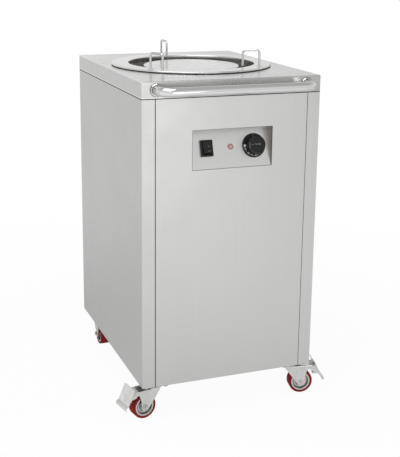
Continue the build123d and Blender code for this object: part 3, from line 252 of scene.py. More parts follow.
class EffectLibrary:
    """Builds each shared effect the first time a finish asks for it."""

    def __init__(self) -> None:
        """Start with no effect built."""
        self._built: dict[Effect, bpy.types.NodeTree] = {}
        self._makers = {
            Effect.GRAIN: self._grain,
            Effect.SPUN: self._spun,
            Effect.SHEET: self._sheet,
            Effect.MARKS: self._marks,
            Effect.EDGES: self._edges,
            Effect.SPECKS: self._specks,
            Effect.SPANGLE: self._spangle,
            Effect.RADIUS: self._radius,
        }

    def use(self, tree: ShaderTree, effect: Effect, values: dict) -> bpy.types.Node:
        """Place an effect in a material.

        Args:
            tree: The material's tree.
            effect: Which effect.
            values: The group's input values or sockets.

        Returns:
            The group node.
        """
        if effect not in self._built:
            self._built[effect] = self._makers[effect]()
        node = tree.add("ShaderNodeGroup", node_tree=self._built[effect])
        for name, value in values.items():
            tree.feed(node.inputs[name], value)
        return node

    @staticmethod
    def _start(name: str, inputs: dict[str, object], outputs: list[str]) -> tuple[ShaderTree, dict, dict]:
        """Open a group.

        Args:
            name: The group's name.
            inputs: Input name to its default; a tuple makes a vector socket.
            outputs: Names of the value outputs.

        Returns:
            The tree, its inputs by name and its outputs by name.
        """
        group = bpy.data.node_groups.new(name, "ShaderNodeTree")
        for label, default in inputs.items():
            kind = "NodeSocketVector" if isinstance(default, tuple) else "NodeSocketFloat"
            socket = group.interface.new_socket(name=label, in_out="INPUT", socket_type=kind)
            socket.default_value = default
        for label in outputs:
            group.interface.new_socket(name=label, in_out="OUTPUT", socket_type="NodeSocketFloat")
        tree = ShaderTree(group)
        entry = tree.add("NodeGroupInput")
        leave = tree.add("NodeGroupOutput")
        return tree, {s.name: s for s in entry.outputs if s.name}, {s.name: s for s in leave.inputs if s.name}

    def _grain(self) -> bpy.types.NodeTree:
        """Return the brushing of sheet steel, which turns with the sheet on walls that face X.

        Returns:
            The group's node tree.
        """
        tree, given, result = self._start(
            Effect.GRAIN.value,
            {"Vector": (0.0, 0.0, 0.0), "Scale": (900.0, 900.0, 6.0), "Side Scale": (900.0, 900.0, 6.0)},
            ["Streaks", "Bands"],
        )
        sideways = tree.math("ABSOLUTE", tree.facing().outputs["X"])
        on_side = tree.math("GREATER_THAN", sideways, 0.7)
        spread = tree.add("ShaderNodeMix", data_type="VECTOR")
        tree.feed(spread.inputs["Factor"], on_side)
        vectors = [s for s in spread.inputs if s.type == "VECTOR" and s.name in "AB"]
        tree.feed(vectors[0], given["Scale"])
        tree.feed(vectors[1], given["Side Scale"])
        stretched = next(s for s in spread.outputs if s.type == "VECTOR")
        point = tree.vector("MULTIPLY", given["Vector"], stretched).outputs[0]
        fine = tree.noise(point, 1.0, 3.0, 0.6)
        broad = tree.noise(point, 0.11, 2.0, 0.5)
        streaks = tree.math("ADD", tree.math("MULTIPLY", fine, 0.6), tree.math("MULTIPLY", broad, 0.4))
        tree.feed(result["Streaks"], streaks)
        tree.feed(result["Bands"], tree.noise(point, 0.035, 1.0, 0.4))
        return tree.tree

    def _spun(self) -> bpy.types.NodeTree:
        """Return the fine rings that spinning and polishing leave round an upright axis.

        Returns:
            The group's node tree.
        """
        tree, given, result = self._start(
            Effect.SPUN.value,
            {"Vector": (0.0, 0.0, 0.0), "Centre": (0.0, 0.021, 0.0), "Density": 900.0},
            ["Rings", "Sweep"],
        )
        away = tree.vector("SUBTRACT", given["Vector"], given["Centre"]).outputs[0]
        flat = tree.vector("MULTIPLY", away, (1.0, 1.0, 0.0)).outputs[0]
        radius = tree.vector("LENGTH", flat).outputs["Value"]
        parts = tree.add("ShaderNodeSeparateXYZ", {"Vector": flat})
        turn = tree.math("ARCTAN2", parts.outputs["Y"], parts.outputs["X"])
        height = tree.add("ShaderNodeSeparateXYZ", {"Vector": away}).outputs["Z"]
        across = tree.math("MULTIPLY", tree.math("ADD", radius, height), given["Density"])
        around = tree.math("MULTIPLY", turn, 1.2)
        point = tree.add("ShaderNodeCombineXYZ", {"X": across, "Y": around}).outputs[0]
        tree.feed(result["Rings"], tree.noise(point, 1.0, 2.0, 0.6))
        tree.feed(result["Sweep"], tree.noise(point, 0.06, 1.0, 0.5))
        return tree.tree

    def _sheet(self) -> bpy.types.NodeTree:
        """Return the slow waves of thin sheet metal and the clouding of its polish.

        Returns:
            The group's node tree.
        """
        tree, given, result = self._start(
            Effect.SHEET.value, {"Vector": (0.0, 0.0, 0.0), "Wave Scale": 3.0}, ["Height", "Cloud"]
        )
        waved = tree.scaled(given["Vector"], given["Wave Scale"])
        tree.feed(result["Height"], tree.noise(waved, 1.0, 1.0, 0.4))
        tree.feed(result["Cloud"], tree.noise(given["Vector"], 11.0, 4.0, 0.6))
        return tree.tree

    def _marks(self) -> bpy.types.NodeTree:
        """Return soft smears left by hands and cloths, as a mask.

        Returns:
            The group's node tree.
        """
        tree, given, result = self._start(Effect.MARKS.value, {"Vector": (0.0, 0.0, 0.0), "Cover": 0.4},
                                          ["Mask"])
        patch = tree.noise(given["Vector"], 7.0, 2.0, 0.5)
        wiped = tree.vector("MULTIPLY", given["Vector"], (60.0, 22.0, 90.0)).outputs[0]
        wisp = tree.noise(wiped, 1.0, 3.0, 0.65)
        edge = tree.math("SUBTRACT", 1.0, given["Cover"])
        smear = tree.math("MULTIPLY", patch, tree.math("ADD", wisp, 0.5))
        over = tree.math("SUBTRACT", smear, tree.math("MULTIPLY", edge, 0.7))
        tree.feed(result["Mask"], tree.math("MULTIPLY", over, 4.0, clamp=True))
        return tree.tree

    def _edges(self) -> bpy.types.NodeTree:
        """Return a mask along the edges of an upright box, for a painted highlight and polish on folds and
        welds.

        Returns:
            The group's node tree.
        """
        tree, given, result = self._start(
            Effect.EDGES.value,
            {"Vector": (0.0, 0.0, 0.0), "Low": (0.0, 0.0, 0.0), "High": (1.0, 1.0, 1.0), "Width": 0.003},
            ["Mask"],
        )
        inside = tree.vector("MINIMUM", tree.vector("SUBTRACT", given["Vector"], given["Low"]).outputs[0],
                             tree.vector("SUBTRACT", given["High"], given["Vector"]).outputs[0]).outputs[0]
        parts = tree.add("ShaderNodeSeparateXYZ", {"Vector": inside})
        near = tree.math("MINIMUM", parts.outputs["X"], parts.outputs["Y"])
        far = tree.math("MAXIMUM", parts.outputs["X"], parts.outputs["Y"])
        second = tree.math("MAXIMUM", near, tree.math("MINIMUM", far, parts.outputs["Z"]))
        ragged = tree.math("MULTIPLY", tree.noise(given["Vector"], 220.0, 2.0, 0.6), given["Width"])
        distance = tree.math("SUBTRACT", second, tree.math("MULTIPLY", ragged, 0.6))
        share = tree.math("DIVIDE", distance, given["Width"])
        tree.feed(result["Mask"], tree.math("SUBTRACT", 1.0, share, clamp=True))
        return tree.tree

    def _specks(self) -> bpy.types.NodeTree:
        """Return the fine texture of a moulding and the slow change of its gloss.

        Returns:
            The group's node tree.
        """
        tree, given, result = self._start(
            Effect.SPECKS.value, {"Vector": (0.0, 0.0, 0.0), "Density": 2500.0}, ["Height", "Gloss"]
        )
        dense = tree.scaled(given["Vector"], given["Density"])
        tree.feed(result["Height"], tree.noise(dense, 1.0, 2.0, 0.5))
        tree.feed(result["Gloss"], tree.noise(given["Vector"], 60.0, 3.0, 0.6))
        return tree.tree

    def _spangle(self) -> bpy.types.NodeTree:
        """Return the patchy crystals of zinc plating, their tint and their dulness.

        Returns:
            The group's node tree.
        """
        tree, given, result = self._start(
            Effect.SPANGLE.value, {"Vector": (0.0, 0.0, 0.0), "Density": 160.0}, ["Crystal", "Dull"]
        )
        grown = tree.scaled(given["Vector"], given["Density"])
        cell = tree.add("ShaderNodeTexVoronoi", {"Vector": grown, "Scale": 1.0})
        tone = tree.add("ShaderNodeSeparateXYZ", {"Vector": cell.outputs["Color"]}).outputs["X"]
        soft = tree.noise(grown, 0.6, 3.0, 0.6)
        crystal = tree.math("ADD", tree.math("MULTIPLY", tone, 0.35), tree.math("MULTIPLY", soft, 0.65))
        tree.feed(result["Crystal"], crystal)
        tree.feed(result["Dull"], tree.noise(given["Vector"], 35.0, 4.0, 0.65))
        return tree.tree

    def _radius(self) -> bpy.types.NodeTree:
        """Return the distance from an axis.

        Returns:
            The group's node tree.
        """
        tree, given, result = self._start(
            Effect.RADIUS.value,
            {"Vector": (0.0, 0.0, 0.0), "Centre": (0.0, 0.0, 0.0), "Axis": (1.0, 0.0, 0.0)},
            ["Radius"],
        )
        away = tree.vector("SUBTRACT", given["Vector"], given["Centre"]).outputs[0]
        across = tree.vector("CROSS_PRODUCT", away, given["Axis"]).outputs[0]
        tree.feed(result["Radius"], tree.vector("LENGTH", across).outputs["Value"])
        return tree.tree


# ---------------------------------------------------------------- finishes
class Brushing(Enum):
    """Which way a steel surface was finished: streak scales on the sheet and on its X-facing folds."""

    UPRIGHT = ((700.0, 700.0, 5.0), (700.0, 700.0, 5.0))
    ACROSS = ((5.0, 700.0, 700.0), (700.0, 5.0, 700.0))
    DOWN_THE_FOLD = ((5.0, 700.0, 700.0), (700.0, 700.0, 5.0))
    TUBE_ALONG_X = ((12.0, 1400.0, 1400.0), (1400.0, 12.0, 1400.0))
    ROUND = ((500.0, 500.0, 500.0), (500.0, 500.0, 500.0))


def open_material(name: str) -> tuple[bpy.types.Material, ShaderTree, bpy.types.Node]:
    """Make an empty node material.

    Args:
        name: The material's name.

    Returns:
        The material, its tree and its main shader node.
    """
    material = bpy.data.materials.new(name)
    material.use_nodes = True
    material.node_tree.nodes.clear()
    tree = ShaderTree(material.node_tree)
    shader = tree.add("ShaderNodeBsdfPrincipled")
    output = tree.add("ShaderNodeOutputMaterial")
    tree.feed(output.inputs["Surface"], shader.outputs[0])
    return material, tree, shader


@dataclass(frozen=True)
class SteelFinish:
    """Stainless or plain steel with a direction of brushing, slow waves, polished edges with a painted
    highlight, and painted shade on chosen faces.
    """

    name: str
    colour: Colour
    roughness: float
    brushing: Brushing = Brushing.UPRIGHT
    streak: float = 0.05
    scratch: float = 0.12
    wave: float = 0.0
    wave_scale: float = 3.0
    spread: float = 0.08
    coat: float = 0.0
    coat_roughness: float = 0.03
    edge_box: tuple | None = None
    edge_width: float = 0.003
    # Painted highlight: how much the colour is lifted along the edges of edge_box.
    edge_highlight_gain: float = 0.2
    # Painted shade: factor that darkens faces looking along -Y; 1.0 paints none.
    front_shade: float = 1.0
    # Painted shade on walls that face X, with lighter stripes as a painted highlight; None paints none.
    painted_side_shade: Colour | None = None
    spun: bool = False

    def build(self, effects: EffectLibrary) -> bpy.types.Material:
        """Return the finish as a material.

        Args:
            effects: The shared effects.

        Returns:
            The material.
        """
        material, tree, shader = open_material(self.name)
        place = tree.place()
        if self.spun:
            worked = effects.use(tree, Effect.SPUN, {"Vector": place})
            streaks, bands = worked.outputs["Rings"], worked.outputs["Sweep"]
        else:
            sheet_scale, fold_scale = self.brushing.value
            scales = {"Vector": place, "Scale": sheet_scale, "Side Scale": fold_scale}
            worked = effects.use(tree, Effect.GRAIN, scales)
            streaks, bands = worked.outputs["Streaks"], worked.outputs["Bands"]
        sheet = effects.use(tree, Effect.SHEET, {"Vector": place, "Wave Scale": self.wave_scale})
        marks = effects.use(tree, Effect.MARKS, {"Vector": place})
        darker = tuple(c * (1.0 - self.streak) for c in self.colour)
        lighter = tuple(min(1.0, c * (1.0 + self.streak)) for c in self.colour)
        tone = tree.math("ADD", tree.math("MULTIPLY", streaks, 0.8), tree.math("MULTIPLY", bands, 0.2))
        colour = tree.blend(tree.remap(tone, 0.35, 0.65, 0.0, 1.0), darker, lighter)
        smoothest, dullest = self.roughness - self.spread / 2, self.roughness + self.spread / 2
        rough = tree.math("ADD", tree.remap(tone, 0.3, 0.7, smoothest, dullest),
                          tree.math("MULTIPLY", marks.outputs["Mask"], 0.07))
        rough = tree.math("ADD", rough, tree.remap(sheet.outputs["Cloud"], 0.3, 0.7, -0.02, 0.03))
        if self.edge_box:
            low, high = self.edge_box
            reach = {"Vector": place, "Low": low, "High": high, "Width": self.edge_width}
            edge = effects.use(tree, Effect.EDGES, reach)
            # Painted highlight: the colour is lifted along the box's edges; the lower roughness there is real
            # polish.
            bright = tuple(min(1.0, c * (1.0 + self.edge_highlight_gain)) for c in self.colour)
            colour = tree.blend(tree.math("MULTIPLY", edge.outputs["Mask"], 0.8), colour, bright)
            polished = tree.math("MULTIPLY", edge.outputs["Mask"], 0.08)
            rough = tree.math("SUBTRACT", rough, polished, clamp=True)
        if self.painted_side_shade:
            # Painted shade and highlight: walls that face X take a dark colour, with lighter stripes from the
            # bands.
            on_side = tree.remap(tree.math("ABSOLUTE", tree.facing().outputs["X"]), 0.6, 0.9, 0.0, 1.0)
            stripe = tree.remap(bands, 0.38, 0.60, 0.0, 1.0)
            folded = tree.blend(stripe, self.painted_side_shade, tuple(min(1.0, c * 2.2) for c in self.painted_side_shade))
            colour = tree.blend(on_side, colour, folded)
        if self.front_shade != 1.0:
            # Painted shade: faces that look along -Y take the colour times this factor.
            front_shade_mask = tree.remap(tree.facing().outputs["Y"], -0.95, -0.60, 1.0, 0.0)
            colour = tree.blend(front_shade_mask, colour, tuple(c * self.front_shade for c in self.colour))
        tree.feed(shader.inputs["Base Color"], colour)
        tree.feed(shader.inputs["Roughness"], rough)
        fine = tree.relief(streaks, self.scratch, 0.0003)
        if self.wave:
            slow = tree.relief(sheet.outputs["Height"], 1.0, self.wave)
            tree.feed(fine.inputs["Normal"], slow.outputs[0])
        tree.feed(shader.inputs["Normal"], fine.outputs[0])
        shader.inputs["Metallic"].default_value = 1.0
        shader.inputs["Coat Weight"].default_value = self.coat
        shader.inputs["Coat Roughness"].default_value = self.coat_roughness
        return material


@dataclass(frozen=True)
class ZincFinish:
    """Bright zinc plating with faint crystals and duller patches."""

    name: str
    colour: Colour
    dull_colour: Colour
    roughness: float
    density: float = 160.0
    metallic: float = 0.85
    relief: float = 0.15

    def build(self, effects: EffectLibrary) -> bpy.types.Material:
        """Return the finish as a material.

        Args:
            effects: The shared effects.

        Returns:
            The material.
        """
        material, tree, shader = open_material(self.name)
        place = tree.place()
        spangle = effects.use(tree, Effect.SPANGLE, {"Vector": place, "Density": self.density})
        marks = effects.use(tree, Effect.MARKS, {"Vector": place, "Cover": 0.5})
        tone = tree.remap(spangle.outputs["Crystal"], 0.3, 0.7, 0.0, 0.6)
        colour = tree.blend(tone, self.colour, self.dull_colour)
        colour = tree.blend(tree.math("MULTIPLY", marks.outputs["Mask"], 0.3), colour, self.dull_colour)
        tree.feed(shader.inputs["Base Color"], colour)
        low, high = self.roughness - 0.07, self.roughness + 0.12
        tree.feed(shader.inputs["Roughness"], tree.remap(spangle.outputs["Dull"], 0.3, 0.7, low, high))
        bump = tree.relief(spangle.outputs["Crystal"], self.relief, 0.0003)
        tree.feed(shader.inputs["Normal"], bump.outputs[0])
        shader.inputs["Metallic"].default_value = self.metallic
        return material


@dataclass(frozen=True)
class MouldedFinish:
    """Moulded plastic with a fine skin, uneven gloss and paler rubbed patches."""

    name: str
    colour: Colour
    roughness: float
    density: float = 2500.0
    relief: float = 0.25
    rubbed: float = 0.25
    coat: float = 0.0
    specular: float = 0.5

    def build(self, effects: EffectLibrary) -> bpy.types.Material:
        """Return the finish as a material.

        Args:
            effects: The shared effects.

        Returns:
            The material.
        """
        material, tree, shader = open_material(self.name)
        place = tree.place()
        skin = effects.use(tree, Effect.SPECKS, {"Vector": place, "Density": self.density})
        marks = effects.use(tree, Effect.MARKS, {"Vector": place, "Cover": 0.5})
        paler = tuple(min(1.0, c * 1.25 + 0.012) for c in self.colour)
        tone = tree.math("ADD", tree.math("MULTIPLY", marks.outputs["Mask"], self.rubbed),
                         tree.remap(skin.outputs["Gloss"], 0.4, 0.7, 0.0, 0.3))
        tree.feed(shader.inputs["Base Color"], tree.blend(tone, self.colour, paler))
        low, high = self.roughness - 0.06, self.roughness + 0.1
        tree.feed(shader.inputs["Roughness"], tree.remap(skin.outputs["Gloss"], 0.3, 0.7, low, high))
        bump = tree.relief(skin.outputs["Height"], self.relief, 0.0001)
        tree.feed(shader.inputs["Normal"], bump.outputs[0])
        shader.inputs["Coat Weight"].default_value = self.coat
        shader.inputs["Specular IOR Level"].default_value = self.specular
        return material


@dataclass(frozen=True)
class WheelFinish:
    """A finish laid out by its distance from the wheel's own axle."""

    name: str
    inner: Colour
    outer: Colour
    bands: Spans
    grooves: Spans
    centre: tuple
    axis: tuple
    roughness: float
    metallic: float = 0.0
    dust: float = 0.0
    specular: float = 0.5

    def build(self, effects: EffectLibrary) -> bpy.types.Material:
        """Return the finish as a material.

        Args:
            effects: The shared effects.

        Returns:
            The material.
        """
        material, tree, shader = open_material(self.name)
        place = tree.place()
        turned = effects.use(tree, Effect.RADIUS, {"Vector": place, "Centre": self.centre, "Axis": self.axis})
        skin = effects.use(tree, Effect.SPECKS, {"Vector": place, "Density": 1800.0})
        marks = effects.use(tree, Effect.MARKS, {"Vector": place, "Cover": 0.6})
        radius = turned.outputs["Radius"]
        mask = self._rings(tree, radius, self.bands)
        # Painted shade: the groove rings are near black, standing in for the shade in the hub's grooves.
        dark = self._rings(tree, radius, self.grooves)
        colour = tree.blend(mask, self.inner, self.outer)
        colour = tree.blend(dark, colour, tuple(c * 0.12 for c in self.inner))
        fine = tree.remap(skin.outputs["Gloss"], 0.3, 0.7, 0.0, 0.35)
        paler = tree.blend(fine, colour, tuple(min(1.0, c * 1.3 + 0.01) for c in self.outer))
        worn = tree.math("MULTIPLY", marks.outputs["Mask"], self.dust)
        tree.feed(shader.inputs["Base Color"], tree.blend(worn, paler, (0.30, 0.28, 0.26)))
        low, high = self.roughness - 0.08, self.roughness + 0.12
        tree.feed(shader.inputs["Roughness"], tree.remap(skin.outputs["Gloss"], 0.3, 0.7, low, high))
        bump = tree.relief(skin.outputs["Height"], 0.2, 0.0001)
        tree.feed(shader.inputs["Normal"], bump.outputs[0])
        shader.inputs["Specular IOR Level"].default_value = self.specular
        shader.inputs["Metallic"].default_value = self.metallic
        return material

    @staticmethod
    def _rings(tree: ShaderTree, radius: Socket, spans: Spans) -> Socket | float:
        """Return a mask that is 1 inside any of the spans of radius.

        Args:
            tree: The material's tree.
            radius: Distance from the axle.
            spans: Start and end of each ring.

        Returns:
            The mask, or 0 where there is no span.
        """
        mask: Socket | float = 0.0
        for start, end in spans:
            ring = tree.math("MULTIPLY", tree.remap(radius, start - 0.0002, start + 0.0002, 0.0, 1.0),
                             tree.remap(radius, end - 0.0002, end + 0.0002, 1.0, 0.0))
            mask = tree.math("MAXIMUM", mask, ring)
        return mask


@dataclass(frozen=True)
class LensFinish:
    """Clear red plastic with a paler grey centre, a painted glint."""

    name: str
    centre: tuple
    axis: tuple
    rim: Colour = (0.60, 0.03, 0.03)
    painted_glint: Colour = (0.58, 0.50, 0.48)

    def build(self, effects: EffectLibrary) -> bpy.types.Material:
        """Return the finish as a material.

        Args:
            effects: The shared effects.

        Returns:
            The material.
        """
        material, tree, shader = open_material(self.name)
        place = tree.place()
        turned = effects.use(tree, Effect.RADIUS, {"Vector": place, "Centre": self.centre, "Axis": self.axis})
        skin = effects.use(tree, Effect.SPECKS, {"Vector": place, "Density": 1200.0})
        # Painted glint: the lens is pale grey near the axis and red further out.
        depth = tree.remap(turned.outputs["Radius"], 0.0042, 0.0056, 0.0, 1.0)
        tree.feed(shader.inputs["Base Color"], tree.blend(depth, self.painted_glint, self.rim))
        tree.feed(shader.inputs["Roughness"], tree.remap(skin.outputs["Gloss"], 0.3, 0.7, 0.06, 0.16))
        rings = tree.math("SINE", tree.math("MULTIPLY", turned.outputs["Radius"], 9000.0))
        bump = tree.relief(rings, 0.35, 0.0001)
        tree.feed(shader.inputs["Normal"], bump.outputs[0])
        shader.inputs["Coat Weight"].default_value = 0.6
        shader.inputs["Coat Roughness"].default_value = 0.03
        return material


Finish = SteelFinish | ZincFinish | MouldedFinish | WheelFinish | LensFinish


# ---------------------------------------------------------------- workshop
@dataclass
class Workshop:
    """What every sub-assembly needs: the frame, the effects and the finishes made."""

    frame: dict
    effects: EffectLibrary = field(default_factory=EffectLibrary)
    made: dict[str, bpy.types.Material] = field(default_factory=dict)

    def material(self, finish: Finish) -> bpy.types.Material:
        """Return a finish's material, built once."""
        if finish.name not in self.made:
            self.made[finish.name] = finish.build(self.effects)
        return self.made[finish.name]

    def dress(self, finish: Finish, *nodes: str) -> None:
        """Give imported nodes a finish.

        Args:
            finish: The finish.
            *nodes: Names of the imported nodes.
        """
        material = self.material(finish)
        for name in nodes:
            mesh = self.frame["nodes"][name].data
            mesh.materials.clear()
            mesh.materials.append(material)
            LOG.info("dressed %s in %s", name, finish.name)

    def piece(self, name: str, shape: bmesh.types.BMesh, finish: Finish, body: str, slot: str,
              smooth: bool = True) -> bpy.types.Object:
        """Turn a bmesh into a piece of the cart that rides on a body.

        Args:
            name: The piece's name.
            shape: The shape, in the model's frame; it is freed.
            finish: Its finish.
            body: The body it rides on.
            slot: Not used.
            smooth: Whether its faces are shaded smooth.

        Returns:
            The new object.
        """
        mesh = bpy.data.meshes.new(name)
        bmesh.ops.recalc_face_normals(shape, faces=shape.faces)
        for face in shape.faces:
            face.smooth = smooth
        shape.to_mesh(mesh)
        shape.free()
        mesh.materials.append(self.material(finish))
        piece = bpy.data.objects.new(name, mesh)
        bpy.context.scene.collection.objects.link(piece)
        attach(piece, body)
        LOG.info("built %s with %d faces", name, len(mesh.polygons))
        return piece

    def box(self, node: str) -> tuple[Vector, Vector]:
        """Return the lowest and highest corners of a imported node."""
        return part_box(node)


def frame_matrix(origin: Vector, out: Vector, right: Vector) -> Matrix:
    """Return the matrix that carries a shape made about the origin, facing +Z, to a place on a face.

    Args:
        origin: Where the shape's own origin goes.
        out: Where its +Z goes.
        right: Where its +X goes.

    Returns:
        The matrix.
    """
    out = out.normalized()
    right = (right - out * right.dot(out)).normalized()
    up = out.cross(right)
    turn = Matrix((right, up, out)).transposed().to_4x4()
    return Matrix.Translation(origin) @ turn


def add_prism(shape: bmesh.types.BMesh, outline: list[tuple[float, float]], low: float, high: float,
              place: Matrix) -> None:
    """Add a closed prism to a shape.

    Args:
        shape: The bmesh it joins.
        outline: Corners in the prism's own XY.
        low: Where it starts along its own Z.
        high: Where it ends.
        place: From its own frame to the model's.
    """
    corners = [shape.verts.new((x, y, low)) for x, y in outline]
    base = shape.faces.new(corners)
    risen = bmesh.ops.extrude_face_region(shape, geom=[base])["geom"]
    tops = [v for v in risen if isinstance(v, bmesh.types.BMVert)]
    bmesh.ops.translate(shape, verts=tops, vec=(0.0, 0.0, high - low))
    bmesh.ops.transform(shape, matrix=place, verts=corners + tops)


def add_turned(shape: bmesh.types.BMesh, profile: list[tuple[float, float]], place: Matrix,
               steps: int = 32) -> None:
    """Add a turned form to a shape.

    Args:
        shape: The bmesh it joins.
        profile: Radius and height of each point, from the axis to the axis or closed.
        place: From its own frame, turned about Z, to the model's.
        steps: Facets round it.
    """
    points = [shape.verts.new((radius, 0.0, height)) for radius, height in profile]
    edges = [shape.edges.new(pair) for pair in zip(points, points[1:])]
    before = set(shape.verts) - set(points)
    bmesh.ops.spin(shape, geom=points + edges, cent=(0, 0, 0), axis=(0, 0, 1), dvec=(0, 0, 0),
                   angle=2 * math.pi, steps=steps, use_merge=True, use_duplicate=False)
    fresh = [v for v in shape.verts if v not in before]
    bmesh.ops.remove_doubles(shape, verts=fresh, dist=1e-6)
    fresh = [v for v in shape.verts if v not in before]
    bmesh.ops.transform(shape, matrix=place, verts=fresh)


def rounded_loop(low: tuple[float, float], high: tuple[float, float], corner: float,
                 steps: int = 5) -> list[tuple[float, float]]:
    """Return the corners of a rectangle with rounded corners, counter-clockwise.

    Args:
        low: Lowest x and y.
        high: Highest x and y.
        corner: Corner radius.
        steps: Facets round each corner.

    Returns:
        The corners in order.
    """
    middles = ((high[0] - corner, high[1] - corner), (low[0] + corner, high[1] - corner),
               (low[0] + corner, low[1] + corner), (high[0] - corner, low[1] + corner))
    points = []
    for quarter, (x, y) in enumerate(middles):
        for step in range(steps + 1):
            angle = math.pi / 2 * (quarter + step / steps)
            points.append((x + corner * math.cos(angle), y + corner * math.sin(angle)))
    return points


def add_band(shape: bmesh.types.BMesh, outline: list[tuple[float, float]], width: float, low: float,
             high: float, place: Matrix = Matrix.Identity(4)) -> None:
    """Add a flat band of rectangular section that follows a closed outline.

    Args:
        shape: The bmesh it joins.
        outline: Corners of its outer edge in its own XY, counter-clockwise.
        width: How far it reaches inwards.
        low: Where it starts along its own Z.
        high: Where it ends.
        place: From its own frame to the model's.
    """
    before = set(shape.verts)
    sheet = shape.faces.new([shape.verts.new((x, y, low)) for x, y in outline])
    sheet.normal_update()
    rim = bmesh.ops.inset_region(shape, faces=[sheet], thickness=width, use_boundary=True,
                                 use_even_offset=True)["faces"]
    bmesh.ops.delete(shape, geom=[sheet], context="FACES_ONLY")
    risen = bmesh.ops.extrude_face_region(shape, geom=rim)["geom"]
    tops = [v for v in risen if isinstance(v, bmesh.types.BMVert)]
    bmesh.ops.translate(shape, verts=tops, vec=(0.0, 0.0, high - low))
    bmesh.ops.transform(shape, matrix=place, verts=[v for v in shape.verts if v not in before])


def text_outline(words: str, height: float) -> bpy.types.Mesh:
    """Return a thin flat mesh of figures, centred on the origin.

    Args:
        words: The figures.
        height: Their height in metres.

    Returns:
        The mesh.
    """
    curve = bpy.data.curves.new("figures", "FONT")
    curve.body = words
    curve.align_x = "CENTER"
    curve.align_y = "CENTER"
    curve.size = height * 1.4
    curve.extrude = 0.00008
    curve.resolution_u = 3
    holder = bpy.data.objects.new("figures", curve)
    bpy.context.scene.collection.objects.link(holder)
    bpy.context.view_layer.update()
    mesh = bpy.data.meshes.new_from_object(holder.evaluated_get(bpy.context.evaluated_depsgraph_get()))
    bpy.data.objects.remove(holder)
    bpy.data.curves.remove(curve)
    return mesh


def add_mesh(shape: bmesh.types.BMesh, mesh: bpy.types.Mesh, place: Matrix) -> None:
    """Add a mesh to a shape at a place, and free the mesh.

    Args:
        shape: The bmesh it joins.
        mesh: The mesh to add.
        place: From the mesh's frame to the model's.
    """
    before = set(shape.verts)
    shape.from_mesh(mesh)
    bmesh.ops.transform(shape, matrix=place, verts=[v for v in shape.verts if v not in before])
    bpy.data.meshes.remove(mesh)


# ---------------------------------------------------------------- finishes of this cart
STAINLESS: Colour = (0.695, 0.695, 0.687)
WALL_STEEL = SteelFinish("wall_steel", STAINLESS, 0.36, Brushing.UPRIGHT, streak=0.015, wave=0.004,
                         spread=0.04, coat=0.10, coat_roughness=0.12)
WELL_STEEL = SteelFinish("well_steel", (0.72, 0.69, 0.66), 0.28, Brushing.UPRIGHT, streak=0.10, wave=0.002,
                         coat=0.1)
RING_STEEL = SteelFinish("ring_steel", (0.77, 0.77, 0.765), 0.15, streak=0.03, spread=0.04, spun=True,
                         scratch=0.02)
PLATFORM_STEEL = SteelFinish("platform_steel", (0.76, 0.76, 0.75), 0.17, streak=0.03, spread=0.06, spun=True,
                             scratch=0.03, wave=0.002, wave_scale=5.0)
ROD_STEEL = SteelFinish("rod_steel", (0.66, 0.655, 0.65), 0.10, Brushing.ROUND, streak=0.03, spread=0.04,
                        scratch=0.03)
TUBE_STEEL = SteelFinish("tube_steel", (0.80, 0.80, 0.795), 0.07, Brushing.TUBE_ALONG_X, streak=0.03,
                         spread=0.03, scratch=0.03)
INNER_STEEL = ZincFinish("inner_steel", (0.52, 0.53, 0.54), (0.42, 0.43, 0.44), 0.42, density=90.0,
                         metallic=0.95)
SPRING_STEEL = SteelFinish("spring_steel", (0.30, 0.30, 0.31), 0.32, Brushing.ROUND, streak=0.12)
BRIGHT_ZINC = ZincFinish("bright_zinc", (0.86, 0.86, 0.85), (0.70, 0.70, 0.68), 0.19, density=60.0,
                         metallic=1.0, relief=0.04)
DULL_ZINC = ZincFinish("dull_zinc", (0.26, 0.245, 0.23), (0.14, 0.13, 0.12), 0.45, density=220.0)
FASTENER_ZINC = ZincFinish("fastener_zinc", (0.72, 0.72, 0.70), (0.58, 0.58, 0.56), 0.30, density=400.0)
ELEMENT_STEEL = SteelFinish("element_steel", (0.16, 0.145, 0.135), 0.48, Brushing.ROUND, streak=0.25,
                            spread=0.15)
BUSH_STEEL = SteelFinish("bush_steel", (0.68, 0.68, 0.68), 0.22, Brushing.ROUND)
DIE_CAST = ZincFinish("die_cast", (0.55, 0.55, 0.54), (0.45, 0.45, 0.44), 0.40, density=300.0)
SWITCH_BLACK = MouldedFinish("switch_black", (0.010, 0.010, 0.011), 0.34, relief=0.15, rubbed=0.15,
                             specular=0.35)
KNOB_BLACK = MouldedFinish("knob_black", (0.010, 0.010, 0.011), 0.36, relief=0.3, rubbed=0.2, specular=0.32)
GLAND_BLACK = MouldedFinish("gland_black", (0.025, 0.025, 0.027), 0.50, relief=0.4)
TERMINAL_CREAM = MouldedFinish("terminal_cream", (0.72, 0.69, 0.60), 0.35, relief=0.1)
NYLON_WHITE = MouldedFinish("nylon_white", (0.80, 0.79, 0.75), 0.45, relief=0.3)
PRINT_WHITE = MouldedFinish("print_white", (0.85, 0.85, 0.83), 0.55, relief=0.2, rubbed=0.0)
FIGURE_GREY = MouldedFinish("figure_grey", (0.24, 0.24, 0.235), 0.50, relief=0.2, rubbed=0.0)
# Near-black matte for strips set into gaps: painted shade standing in for their shadow.
SHADE_BLACK = MouldedFinish("shade_black", (0.010, 0.009, 0.008), 0.70, relief=0.2, rubbed=0.1, specular=0.15)
# Grey paler than the knob, for the strip on its flat: a painted highlight.
FACET_HIGHLIGHT_GREY = MouldedFinish("facet_highlight_grey", (0.11, 0.11, 0.112), 0.30, relief=0.1, rubbed=0.2)
WELD_STEEL = SteelFinish("weld_steel", (0.40, 0.38, 0.36), 0.42, Brushing.ROUND, streak=0.3)
# Dark grey for the strip round the control cut-out: painted shade for the shadow line at its edge.
EDGE_SHADE_GREY = SteelFinish("edge_shade_grey", (0.10, 0.095, 0.09), 0.50, Brushing.ROUND, streak=0.3)


